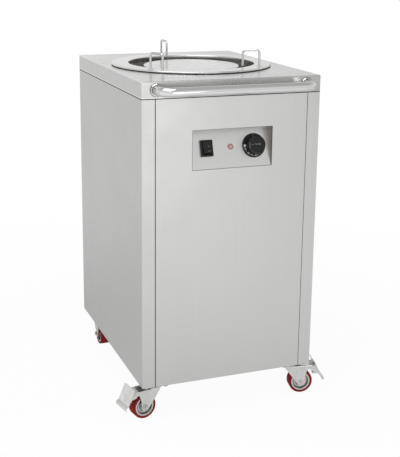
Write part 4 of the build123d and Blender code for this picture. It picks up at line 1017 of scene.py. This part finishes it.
# ---------------------------------------------------------------- cabinet
@dataclass
class Cabinet:
    """The folded shell, its pan and the fasteners on its back."""

    shop: Workshop
    screw_rise: float = 0.0022
    screw_radius: float = 0.0035
    shell_height: float = 0.7598
    return_gap: float = 0.0014
    # Size and place of the black strip in the skirt's gap: painted shade for its shadow.
    shade_strip_inset: float = 0.0003
    shade_strip_width: float = 0.0008
    shade_strip_corner: float = 0.0018
    shade_strip_play: float = 0.00005

    def build(self) -> None:
        """Dress the panels and replace the plain screw heads."""
        low, high = self.shop.box("top_cover")
        # The cover gets painted shade on its faces that look along -Y and a painted highlight along its
        # edges.
        cover = SteelFinish("cover_steel", STAINLESS, 0.25, Brushing.DOWN_THE_FOLD, streak=0.02, wave=0.002,
                            spread=0.04, coat=0.35, coat_roughness=0.04, edge_box=(tuple(low), tuple(high)),
                            edge_width=0.0035, edge_highlight_gain=0.25, front_shade=0.84, scratch=0.04)
        self.shop.dress(cover, "top_cover")
        self.shop.dress(WALL_STEEL, "left_side_panel", "right_side_panel", "front_panel", "back_panel")
        self.shop.dress(INNER_STEEL, "base_pan", "caster_backing_plates")
        self.shop.dress(FASTENER_ZINC, "caster_bolts")
        self._screws()
        self._seam_shade_strip()
        self._return_shade_strips()

    def _seam_shade_strip(self) -> None:
        """Fill the shadow gap between the cover's skirt and the panels with a set-back black strip, painted
        shade for that shadow.
        """
        low, high = self.shop.box("top_cover")
        panel_top = self.shop.box("front_panel")[0].z + self.shell_height
        inset = self.shade_strip_inset
        shape = bmesh.new()
        outline = rounded_loop((low.x + inset, low.y + inset), (high.x - inset, high.y - inset),
                               self.shade_strip_corner)
        add_band(shape, outline, self.shade_strip_width, panel_top + self.shade_strip_play, low.z - self.shade_strip_play)
        self.shop.piece("skirt_shade_strip", shape, SHADE_BLACK, CABINET, "black_plastic", smooth=False)

    def _return_shade_strips(self) -> None:
        """Fill the upright gaps beside the front panel with black strips, painted shade for their shadow: the
        left one laps, the right is set back.
        """
        low, high = self.shop.box("front_panel")
        top = low.z + self.shell_height
        shape = bmesh.new()
        for side, depth, lap in ((-1, -0.00015, 0.00035), (1, 0.0008, -0.00003)):
            edge = low.x if side < 0 else high.x
            near, far = sorted((edge - side * lap, edge + side * (self.return_gap + lap)))
            outline = [(near, low.y + depth), (far, low.y + depth), (far, low.y + depth + 0.001),
                       (near, low.y + depth + 0.001)]
            add_prism(shape, outline, low.z + 0.0005, top - 0.0002, Matrix.Identity(4))
        self.shop.piece("return_shade_strips", shape, SHADE_BLACK, CABINET, "black_plastic", smooth=False)

    def _screws(self) -> None:
        """Build pan-head screws with a cross recess in place of the plain heads."""
        low, high = self.shop.box("back_panel_screws")
        rows = 4
        shape = bmesh.new()
        for side in (low.x + self.screw_radius, high.x - self.screw_radius):
            for row in range(rows):
                run = high.z - low.z - 2 * self.screw_radius
                height = low.z + self.screw_radius + run * row / (rows - 1)
                place = frame_matrix(Vector((side, low.y, height)), Vector((0, 1, 0)),
                                     Vector((-1, 0, 0.3 * row - 0.4)))
                self._head(shape, place)
        head = self.shop.piece("cross_head_screws", shape, FASTENER_ZINC, CABINET, "fastener_steel")
        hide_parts("back_panel_screws")

    def _head(self, shape: bmesh.types.BMesh, place: Matrix) -> None:
        """Add one screw head whose cross is pressed into its dome.

        Args:
            shape: The bmesh it joins.
            place: From the head's frame to the model's.
        """
        before = set(shape.verts)
        made = bmesh.ops.create_grid(shape, x_segments=12, y_segments=12, size=0.0013)
        grid = made["verts"]
        sunk = 0.0009
        for vert in grid:
            arm = min(abs(vert.co.x), abs(vert.co.y)) < 0.00028 and vert.co.length < 0.00118
            vert.co.z = self.screw_rise - (sunk if arm else 0.0) - 18.0 * vert.co.length_squared
        rim = [e for e in shape.edges if e.is_boundary and e.verts[0] not in before]
        for radius, height in ((0.0022, 0.0019), (0.0030, 0.0012), (0.0035, 0.0004), (0.0035, 0.0)):
            grown = bmesh.ops.extrude_edge_only(shape, edges=rim)["geom"]
            rim = [e for e in grown if isinstance(e, bmesh.types.BMEdge)]
            for vert in {v for e in rim for v in e.verts}:
                flat = Vector((vert.co.x, vert.co.y, 0.0)).normalized() * radius
                vert.co = Vector((flat.x, flat.y, height))
        fresh = [v for v in shape.verts if v not in before]
        bmesh.ops.transform(shape, matrix=place, verts=fresh)


# ---------------------------------------------------------------- controls
@dataclass
class Controls:
    """The sloping control plate with the switch, the lamp and the thermostat."""

    shop: Workshop
    plate_middle: Vector = field(default_factory=lambda: Vector((0.0, -0.27198, 0.72225)))
    plate_out: Vector = field(default_factory=lambda: Vector((0.0, -0.9563, 0.2924)))
    switch_x: float = -0.066
    knob_x: float = 0.065
    skirt_rise: float = 0.0048
    skirt_print_radius: float = 0.0268
    print_rise: float = 0.00016
    grip_top: float = 0.028
    cut_out_size: tuple[float, float] = (0.220, 0.1035)
    cut_out_top: float = 0.774
    # Width of the dark strip round the cut-out, painted shade for the shadow at its edge.
    shade_line_width: float = 0.0009

    def on_plate(self, x: float, rise: float, right: Vector = Vector((1, 0, 0))) -> Matrix:
        """Return the matrix to a place on the plate.

        Args:
            x: Place along the plate.
            rise: How far proud of it.
            right: Where the shape's +X points.
        """
        origin = self.plate_middle + Vector((x, 0, 0)) + self.plate_out.normalized() * rise
        return frame_matrix(origin, self.plate_out, right)

    def build(self) -> None:
        """Dress the controls and add their print, pointer and welds."""
        # The recess's walls that face X get painted shade with lighter stripes as a painted highlight.
        recess = SteelFinish("recess_steel", (0.73, 0.73, 0.72), 0.33, Brushing.UPRIGHT, streak=0.015,
                             scratch=0.0, spread=0.03, painted_side_shade=(0.18, 0.165, 0.15))
        self.shop.dress(recess, "control_recess")
        self.shop.dress(SWITCH_BLACK, "switch_housing", "switch_rocker")
        self.shop.dress(KNOB_BLACK, "thermostat_knob")
        self.shop.dress(DIE_CAST, "thermostat_body")
        self.shop.dress(FASTENER_ZINC, "thermostat_spindle")
        self.shop.dress(ROD_STEEL, "pilot_lamp_bezel")
        lens = LensFinish("lamp_red", tuple(self.plate_middle), tuple(self.plate_out.normalized()))
        self.shop.dress(lens, "pilot_lamp_lens")
        self._dial_print()
        self._pointer()
        self._facet_highlight_strip()
        self._switch_print()
        self._edge_shade()
        self._tacks()

    def _round_dial(self, angle: float) -> Matrix:
        """Return the matrix to a place on the dial's print circle, at an angle in radians."""
        radius = self.skirt_print_radius
        return Matrix.Translation((radius * math.cos(angle), radius * math.sin(angle), 0))

    def _dial_print(self) -> None:
        """Print the temperature scale on the knob's skirt."""
        shape = bmesh.new()
        centre = self.on_plate(self.knob_x, self.skirt_rise + 0.00002)
        figures = {198: "30", 226: "50", 250: "70", 276: "85"}
        for turn, words in figures.items():
            angle = math.radians(turn)
            facing = Matrix.Rotation(angle + math.pi / 2, 4, "Z")
            add_mesh(shape, text_outline(words, 0.0046), centre @ self._round_dial(angle) @ facing)
        for turn in (92, 212, 238, 263, 289, 302):
            angle = math.radians(turn)
            corners = [k * math.pi / 5 for k in range(10)]
            outline = [(0.0007 * math.cos(corner), 0.0007 * math.sin(corner)) for corner in corners]
            add_prism(shape, outline, 0.0, self.print_rise, centre @ self._round_dial(angle))
        bar = [(-0.0292, -0.0034), (-0.0240, -0.0030), (-0.0240, 0.0030), (-0.0292, 0.0034)]
        add_prism(shape, bar, 0.0, self.print_rise, centre)
        self.shop.piece("dial_print", shape, PRINT_WHITE, "thermostat_knob", "knob_plastic", smooth=False)

    def _pointer(self) -> None:
        """Add the pointer line and the shallow ring on the knob's face."""
        shape = bmesh.new()
        face = self.on_plate(self.knob_x, self.grip_top)
        line = [(-0.0185, -0.0007), (-0.0110, -0.0007), (-0.0110, 0.0007), (-0.0185, 0.0007)]
        add_prism(shape, line, -0.0002, self.print_rise, face)
        add_mesh(shape, text_outline("30-85", 0.0050), face @ Matrix.Translation((0.0005, 0.0, 0.0001)))
        self.shop.piece("knob_pointer", shape, FIGURE_GREY, "thermostat_knob", "knob_plastic", smooth=False)
        ring = bmesh.new()
        profile = [(0.0150, -0.0002), (0.0150, 0.0003), (0.0154, 0.0005), (0.0162, 0.0005),
                   (0.0166, 0.0003), (0.0166, -0.0002)]
        add_turned(ring, profile, face, 48)
        self.shop.piece("knob_face_ring", ring, KNOB_BLACK, "thermostat_knob", "knob_plastic")

    def _facet_highlight_strip(self) -> None:
        """Add a paler strip on the flat of the knob's grip, a painted highlight along that facet."""
        shape = bmesh.new()
        flat = frame_matrix(self.on_plate(self.knob_x - 0.01940, 0.0205).translation, Vector((-1, 0, 0)),
                            self.plate_out)
        outline = rounded_loop((-0.0060, -0.0080), (0.0060, 0.0080), 0.0015, 3)
        add_prism(shape, outline, -0.0004, 0.0002, flat)
        self.shop.piece("knob_facet_highlight_strip", shape, FACET_HIGHLIGHT_GREY, "thermostat_knob", "knob_plastic",
                        smooth=False)

    def _switch_print(self) -> None:
        """Print the on and off marks on the two faces of the rocker."""
        shape = bmesh.new()
        across = Vector((self.switch_x + 0.003, 0, 0))
        pivot = self.plate_middle + across + self.plate_out.normalized() * 0.003
        tilt = Matrix.Rotation(math.radians(-9.0), 3, "X")
        out = tilt @ self.plate_out.normalized()
        for place, lean in ((0.0035, -9.3), (-0.0110, 9.3)):
            face_out = Matrix.Rotation(math.radians(lean), 3, "X") @ out
            up = out.cross(Vector((1, 0, 0))) * -1.0
            if up.z < 0:
                up = -up
            origin = pivot + up * place + out * (0.0095 - 0.0025 * (1 - abs(place) / 0.0162) + 0.00012)
            matrix = frame_matrix(origin, face_out, Vector((1, 0, 0)))
            if place > 0:
                add_prism(shape, [(-0.0006, -0.0030), (0.0006, -0.0030), (0.0006, 0.0030), (-0.0006, 0.0030)],
                          -0.0001, 0.00012, matrix)
            else:
                profile = [(0.0019, -0.0001), (0.0019, 0.00012), (0.0030, 0.00012), (0.0030, -0.0001)]
                add_turned(shape, profile, matrix, 28)
        self.shop.piece("switch_print", shape, FIGURE_GREY, "switch_rocker", "black_plastic", smooth=False)

    def _edge_shade(self) -> None:
        """Run a dark strip round the joint between the cut-out's edge and the recess behind it, painted shade
        for the shadow line there.
        """
        low, _ = self.shop.box("front_panel")
        half, rise = (side / 2 - 0.00005 for side in self.cut_out_size)
        middle = self.cut_out_top - self.cut_out_size[1] / 2
        place = frame_matrix(Vector((0.0, low.y + 0.0010, middle)), Vector((0, -1, 0)), Vector((1, 0, 0)))
        shape = bmesh.new()
        add_band(shape, rounded_loop((-half, -rise), (half, rise), 0.0016, 4), self.shade_line_width, 0.0, 0.0008,
                 place)
        self.shop.piece("recess_edge_shade", shape, EDGE_SHADE_GREY, CABINET, "cabinet_steel", smooth=False)

    def _tacks(self) -> None:
        """Add the small tack welds that hold the recess behind the front panel's cut-out."""
        shape = bmesh.new()
        low, _ = self.shop.box("front_panel")
        recess_half, top = self.cut_out_size[0] / 2, self.cut_out_top
        bottom = top - self.cut_out_size[1]
        spots = [(-0.034, top), (0.031, top), (-0.064, bottom), (-0.037, bottom), (0.034, bottom),
                 (0.047, bottom)]
        for x, z in spots:
            inward = -1 if z == top else 1
            place = frame_matrix(Vector((x, low.y + 0.0005, z + inward * 0.0001)), Vector((0, -1, 0)),
                                 Vector((1, 0, 0)))
            profile = [(0.0, 0.0009), (0.0008, 0.0008), (0.0015, 0.0004), (0.0017, 0.0), (0.0, -0.0002)]
            add_turned(shape, profile, place, 14)
        for x in (-recess_half, recess_half):
            for z in (top, bottom):
                place = frame_matrix(Vector((x, low.y + 0.0008, z)), Vector((0, -1, 0)), Vector((1, 0, 0)))
                add_turned(shape, [(0.0, 0.0006), (0.0010, 0.0005), (0.0017, 0.0), (0.0, -0.0002)], place, 14)
        self.shop.piece("recess_tack_welds", shape, WELD_STEEL, CABINET, "cabinet_steel")


# ---------------------------------------------------------------- handle
@dataclass
class PushHandle:
    """The bent tube across the front and its roses."""

    shop: Workshop
    tube_radius: float = 0.012

    def build(self) -> None:
        """Dress the handle."""
        self.shop.dress(TUBE_STEEL, "handle_tube")
        self.shop.dress(ROD_STEEL, "handle_escutcheons")
        self.shop.dress(FASTENER_ZINC, "handle_screws")
        self._rose_shade_rings()

    def _rose_shade_rings(self) -> None:
        """Add thin black rings behind each rose and round the tube where it enters, painted shade for the
        shadow in those gaps.
        """
        low, high = self.shop.box("handle_escutcheons")
        radius = (high.z - low.z) / 2
        middle = (high.z + low.z) / 2
        shape = bmesh.new()
        for x in (low.x + radius, high.x - radius):
            base = frame_matrix(Vector((x, high.y, middle)), Vector((0, -1, 0)), Vector((1, 0, 0)))
            wide, tight = radius + 0.0009, self.tube_radius + 0.0009
            rose = [(radius - 0.001, 0.0), (wide - 0.0002, 0.0), (wide, 0.0002), (wide - 0.0001, 0.0005),
                    (radius - 0.001, 0.0005)]
            add_turned(shape, rose, base, 40)
            collar = [(self.tube_radius + 0.0001, 0.0028), (tight, 0.0030), (tight - 0.0003, 0.0036),
                      (self.tube_radius + 0.0001, 0.0038)]
            add_turned(shape, collar, base, 40)
        self.shop.piece("rose_shade_rings", shape, SHADE_BLACK, CABINET, "black_plastic")


# ---------------------------------------------------------------- well, platform and guides
@dataclass
class PlateWell:
    """The raised ring, the tube under it, the well's floor and the swinging guides."""

    shop: Workshop
    axis_y: float = 0.021
    tube_outside: float = 0.1777
    seam_turn: float = 128.0

    def build(self) -> None:
        """Dress the well and add the seam of its tube."""
        self.shop.dress(RING_STEEL, "flange_ring")
        self.shop.dress(WELL_STEEL, "plate_tube")
        self.shop.dress(INNER_STEEL, "well_base", "well_legs", "spring_guide_tube")
        self.shop.dress(BUSH_STEEL, "guide_bushes")
        self.shop.dress(ROD_STEEL, "left_plate_guide", "right_plate_guide", "rear_plate_guide")
        self._tube_seam()
        self._ring_shade_strip()

    def _ring_shade_strip(self) -> None:
        """Add a black strip under the ring's turned edge, painted shade for the dark shadow line between it
        and the cover.
        """
        low, high = self.shop.box("flange_ring")
        radius = (high.x - low.x) / 2 - 0.0010
        base = self.shop.box("top_cover")[1].z
        shape = bmesh.new()
        place = Matrix.Translation((0.0, (low.y + high.y) / 2, base))
        inside = radius - 0.0035
        profile = [(radius, 0.00005), (radius, 0.0022), (inside, 0.0022), (inside, 0.00005),
                   (radius, 0.00005)]
        add_turned(shape, profile, place, 128)
        self.shop.piece("ring_shade_strip", shape, SHADE_BLACK, CABINET, "black_plastic")

    def _tube_seam(self) -> None:
        """Add the ground weld down the outside of the tube."""
        low, high = self.shop.box("plate_tube")
        shape = bmesh.new()
        angle = math.radians(self.seam_turn)
        outwards = Vector((math.cos(angle), math.sin(angle), 0.0))
        origin = Vector((0.0, self.axis_y, 0.0)) + outwards * self.tube_outside
        place = frame_matrix(origin, Vector((0, 0, 1)), outwards)
        section = [(-0.0006, -0.0020), (0.0002, -0.0016), (0.0005, -0.0006),
                   (0.0005, 0.0006), (0.0002, 0.0016), (-0.0006, 0.0020)]
        add_prism(shape, section, low.z + 0.016, high.z - 0.016, place)
        self.shop.piece("tube_seam_weld", shape, WELD_STEEL, CABINET, "well_steel")


@dataclass
class SprungPlatform:
    """The platform, its carrier and the spring that lifts it as plates are taken."""

    shop: Workshop
    turns: int = 13
    steps_per_turn: int = 28
    wire_radius: float = 0.00325
    coil_radius: float = 0.0565
    travel: float = 0.45
    axis_y: float = 0.021

    def build(self) -> None:
        """Dress the platform and wind the spring."""
        self.shop.dress(PLATFORM_STEEL, "plate_platform")
        self.shop.dress(INNER_STEEL, "platform_carrier")
        self.shop.dress(NYLON_WHITE, "carrier_runners")
        self._spring()

    def _spring(self) -> None:
        """Wind the lift spring as one coil."""
        low, high = self.shop.box("lift_spring")
        base, top = low.z, high.z
        rise = (top - base - 2 * self.wire_radius) / self.turns
        shape = bmesh.new()
        section = bmesh.ops.create_circle(shape, cap_ends=True, segments=10, radius=self.wire_radius)["verts"]
        upright = Matrix.Rotation(math.pi / 2, 4, "X")
        stand = Matrix.Translation((self.coil_radius, self.axis_y, base + self.wire_radius)) @ upright
        bmesh.ops.transform(shape, matrix=stand, verts=section)
        steps = self.turns * self.steps_per_turn
        bmesh.ops.spin(shape, geom=list(shape.faces), cent=(0.0, self.axis_y, 0.0), axis=(0, 0, 1),
                       dvec=(0, 0, rise / self.steps_per_turn), angle=2 * math.pi * self.turns, steps=steps,
                       use_merge=False, use_duplicate=False)
        spring = self.shop.piece("coil_spring", shape, SPRING_STEEL, CABINET, "spring_steel")
        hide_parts("lift_spring")
        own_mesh(spring)


# ---------------------------------------------------------------- heater
@dataclass
class Heater:
    """The element under the well, its terminals and the cable gland."""

    shop: Workshop

    def build(self) -> None:
        """Dress the heater and add the terminal screws."""
        self.shop.dress(ELEMENT_STEEL, "heating_element")
        self.shop.dress(INNER_STEEL, "element_brackets")
        self.shop.dress(TERMINAL_CREAM, "terminal_block")
        self.shop.dress(GLAND_BLACK, "cable_gland")
        self._terminal_screws()

    def _terminal_screws(self) -> None:
        """Add the brass clamps at the bottom of the terminal block's wells."""
        low, high = self.shop.box("terminal_block")
        middle = (low + high) / 2
        shape = bmesh.new()
        for column in range(4):
            for row in (-1, 1):
                x = middle.x + (column - 1.5) * 0.015
                y = middle.y + row * 0.0055
                place = Matrix.Translation((x, y, middle.z + 0.0002))
                profile = [(0.0, 0.0014), (0.0022, 0.0012), (0.0027, 0.0004), (0.0027, 0.0), (0.0, 0.0)]
                add_turned(shape, profile, place, 18)
        brass = SteelFinish("clamp_brass", (0.62, 0.46, 0.22), 0.30, Brushing.ROUND)
        self.shop.piece("terminal_clamps", shape, brass, CABINET, "fastener_steel")


# ---------------------------------------------------------------- casters
@dataclass
class Caster:
    """One swivel caster, with its own wheel axis."""

    shop: Workshop
    corner: str
    braked: bool
    bright_bands: Spans = ((0.0, 0.0098), (0.0150, 0.0180), (0.0224, 0.0267))
    # Radii of the hub's grooves, painted near black as shade.
    groove_shade_spans: Spans = ((0.0100, 0.0108), (0.0134, 0.0148), (0.0210, 0.0224))
    tread_band: Spans = ((0.0305, 0.0400),)

    def build(self) -> None:
        """Dress the caster's plate, fork, wheel and pedal."""
        corner = self.corner
        self.shop.dress(BRIGHT_ZINC, f"{corner}_caster_fork")
        self.shop.dress(DULL_ZINC, f"{corner}_caster_plate")
        self.shop.dress(FASTENER_ZINC, f"{corner}_axle_bolt")
        if self.braked:
            self.shop.dress(BRIGHT_ZINC, f"{corner}_brake_pedal")
        joint = next(j for j in self.shop.frame["joints"] if j["name"] == f"{corner}_wheel_spin")
        centre, axis = tuple(joint["pos_m"]), tuple(joint["axis"])
        hub = WheelFinish(f"{corner}_hub_steel", (0.30, 0.29, 0.28), (0.66, 0.66, 0.65),
                          self.bright_bands, self.groove_shade_spans, centre, axis, 0.28, metallic=0.9)
        tyre = WheelFinish(f"{corner}_tyre_red", (0.27, 0.007, 0.006), (0.30, 0.009, 0.008),
                           self.tread_band, (), centre, axis, 0.55, dust=0.03, specular=0.12)
        self.shop.dress(hub, f"{corner}_wheel_hub")
        self.shop.dress(tyre, f"{corner}_wheel_tyre")


# ---------------------------------------------------------------- studio
@dataclass(frozen=True)
class SoftLamp:
    """A square soft lamp: where it hangs, what it faces, its side in metres and its power in watts."""

    name: str
    place: tuple[float, float, float]
    target: tuple[float, float, float]
    size: float
    power: float

    def hang(self) -> None:
        """Add the lamp to the scene."""
        lamp = bpy.data.lights.new(self.name, "AREA")
        lamp.size = self.size
        lamp.energy = self.power
        holder = bpy.data.objects.new(self.name, lamp)
        holder.location = self.place
        sight = Vector(self.target) - Vector(self.place)
        holder.rotation_euler = sight.to_track_quat("-Z", "Y").to_euler()
        bpy.context.scene.collection.objects.link(holder)


@dataclass
class Studio:
    """The pale floor, the soft lamps, the white surround and the camera of the photograph."""

    focal_px: float = 961.46
    image_height: int = 457
    centre_row: float = 182.0
    azimuth: float = 20.96
    elevation: float = 13.76
    roll: float = 0.64
    eye: tuple[float, float, float] = (-0.93364, -2.49552, 1.21905)
    sensor_height: float = 36.0
    floor_half: float = 40.0
    lamps: tuple[SoftLamp, ...] = (
        SoftLamp("overhead_softbox", (-0.7, -0.6, 2.9), (0.0, 0.0, 0.6), 1.9, 37.0),
        SoftLamp("front_softbox", (0.30, -3.3, 0.60), (0.0, -0.3, 0.4), 1.4, 6.0),
    )

    def build(self) -> None:
        """Set the whole studio."""
        self._colour()
        self._world()
        self._floor()
        for lamp in self.lamps:
            lamp.hang()
        self._camera()

    @staticmethod
    def _colour() -> None:
        """Keep colours as they are written."""
        bpy.context.scene.view_settings.view_transform = "Standard"

    @staticmethod
    def _world() -> None:
        """Surround the cart with white, greyer overhead and to the right where only the lighting sees it."""
        world = bpy.data.worlds.new("studio_surround")
        bpy.context.scene.world = world
        world.use_nodes = True
        world.node_tree.nodes.clear()
        tree = ShaderTree(world.node_tree)
        path = tree.add("ShaderNodeLightPath")
        heading = tree.add("ShaderNodeSeparateXYZ",
                           {"Vector": tree.add("ShaderNodeTexCoord").outputs["Generated"]})
        above = tree.remap(heading.outputs["Z"], 0.15, 0.80, 1.0, 0.55)
        right = tree.remap(heading.outputs["X"], 0.28, 0.50, 1.0, 0.90)
        below = tree.remap(heading.outputs["Z"], -0.02, 0.02, 0.85, 1.0)
        level = tree.math("MULTIPLY", tree.math("MULTIPLY", above, right), below)
        seen = tree.math("MAXIMUM", path.outputs["Is Glossy Ray"], path.outputs["Is Transmission Ray"])
        soft = tree.math("MULTIPLY", level, tree.remap(seen, 0.0, 1.0, 0.70, 0.87))
        strength = tree.math("MAXIMUM", soft, path.outputs["Is Camera Ray"])
        light = tree.add("ShaderNodeBackground", {"Color": (1.0, 1.0, 1.0, 1.0), "Strength": strength})
        output = tree.add("ShaderNodeOutputWorld")
        tree.feed(output.inputs["Surface"], light.outputs[0])

    @staticmethod
    def _sweep_tone(tree: ShaderTree) -> Socket:
        """Return how bright the floor looks in the steel: whiter in front, dim far off and by the cart.

        Args:
            tree: The floor material's tree.

        Returns:
            The tone, from 0 to 1.
        """
        place = tree.place()
        parts = tree.add("ShaderNodeSeparateXYZ", {"Vector": place})
        away = tree.vector("LENGTH", place).outputs["Value"]
        ahead = tree.remap(parts.outputs["Y"], -0.4, 0.6, 1.0, 0.75)
        right = tree.remap(parts.outputs["X"], 0.3, 1.3, 1.0, 0.78)
        near = tree.remap(away, 0.4, 1.8, 0.68, 1.0)
        far = tree.remap(parts.outputs["Y"], -4.4, -3.6, 0.80, 1.0)
        return tree.math("MULTIPLY", tree.math("MULTIPLY", ahead, right), tree.math("MULTIPLY", near, far))

    def _floor(self) -> None:
        """Lay a wide pale floor that stays white in the picture and keeps the shadow."""
        shape = bmesh.new()
        bmesh.ops.create_grid(shape, x_segments=1, y_segments=1, size=self.floor_half)
        mesh = bpy.data.meshes.new("studio_floor")
        shape.to_mesh(mesh)
        shape.free()
        floor = bpy.data.objects.new("studio_floor", mesh)
        bpy.context.scene.collection.objects.link(floor)
        material = bpy.data.materials.new("studio_floor")
        material.use_nodes = True
        material.node_tree.nodes.clear()
        tree = ShaderTree(material.node_tree)
        path = tree.add("ShaderNodeLightPath")
        camera = path.outputs["Is Camera Ray"]
        mirrored = tree.math("MAXIMUM", path.outputs["Is Glossy Ray"], path.outputs["Is Transmission Ray"])
        away = tree.vector("LENGTH", tree.place()).outputs["Value"]
        open_share = tree.remap(away, 0.6, 2.0, 0.955, 1.0)
        share = tree.math("MAXIMUM", tree.math("MULTIPLY", camera, open_share),
                          tree.math("MULTIPLY", mirrored, 0.9))
        glow = tree.math("MAXIMUM", camera, self._sweep_tone(tree))
        matte = tree.add("ShaderNodeBsdfDiffuse", {"Color": (0.86, 0.86, 0.86, 1.0)})
        white = tree.add("ShaderNodeEmission", {"Color": (1.0, 1.0, 1.0, 1.0), "Strength": glow})
        mixed = tree.add("ShaderNodeMixShader")
        tree.feed(mixed.inputs[0], share)
        tree.feed(mixed.inputs[1], matte.outputs[0])
        tree.feed(mixed.inputs[2], white.outputs[0])
        output = tree.add("ShaderNodeOutputMaterial")
        tree.feed(output.inputs["Surface"], mixed.outputs[0])
        mesh.materials.append(material)

    def _camera(self) -> None:
        """Stand the camera where the photograph was taken from."""
        turn, dip, lean = (math.radians(a) for a in (self.azimuth, self.elevation, self.roll))
        ahead = Vector((math.sin(turn) * math.cos(dip), math.cos(turn) * math.cos(dip), -math.sin(dip)))
        level = ahead.cross(Vector((0, 0, 1))).normalized()
        up = level.cross(ahead)
        right = level * math.cos(lean) + up * math.sin(lean)
        above = up * math.cos(lean) - level * math.sin(lean)
        data = bpy.data.cameras.new("photo_camera")
        data.sensor_fit = "VERTICAL"
        data.sensor_height = self.sensor_height
        data.lens = self.focal_px * data.sensor_height / self.image_height
        data.shift_y = (self.centre_row - self.image_height / 2) / self.image_height
        data.clip_end = 200.0
        camera = bpy.data.objects.new("photo_camera", data)
        basis = Matrix((right, above, -ahead)).transposed().to_4x4()
        camera.matrix_world = Matrix.Translation(Vector(self.eye)) @ basis
        bpy.context.scene.collection.objects.link(camera)
        bpy.context.scene.camera = camera


def main() -> None:
    """Load the frame, build every sub-assembly and the studio."""
    shop = Workshop(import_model())
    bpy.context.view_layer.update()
    Cabinet(shop).build()
    Controls(shop).build()
    PushHandle(shop).build()
    PlateWell(shop).build()
    SprungPlatform(shop).build()
    Heater(shop).build()
    for corner in ("front_left", "front_right", "rear_left", "rear_right"):
        Caster(shop, corner, corner.startswith("front")).build()
    Studio().build()
    bpy.context.view_layer.update()


if __name__ == "__main__":
    main()
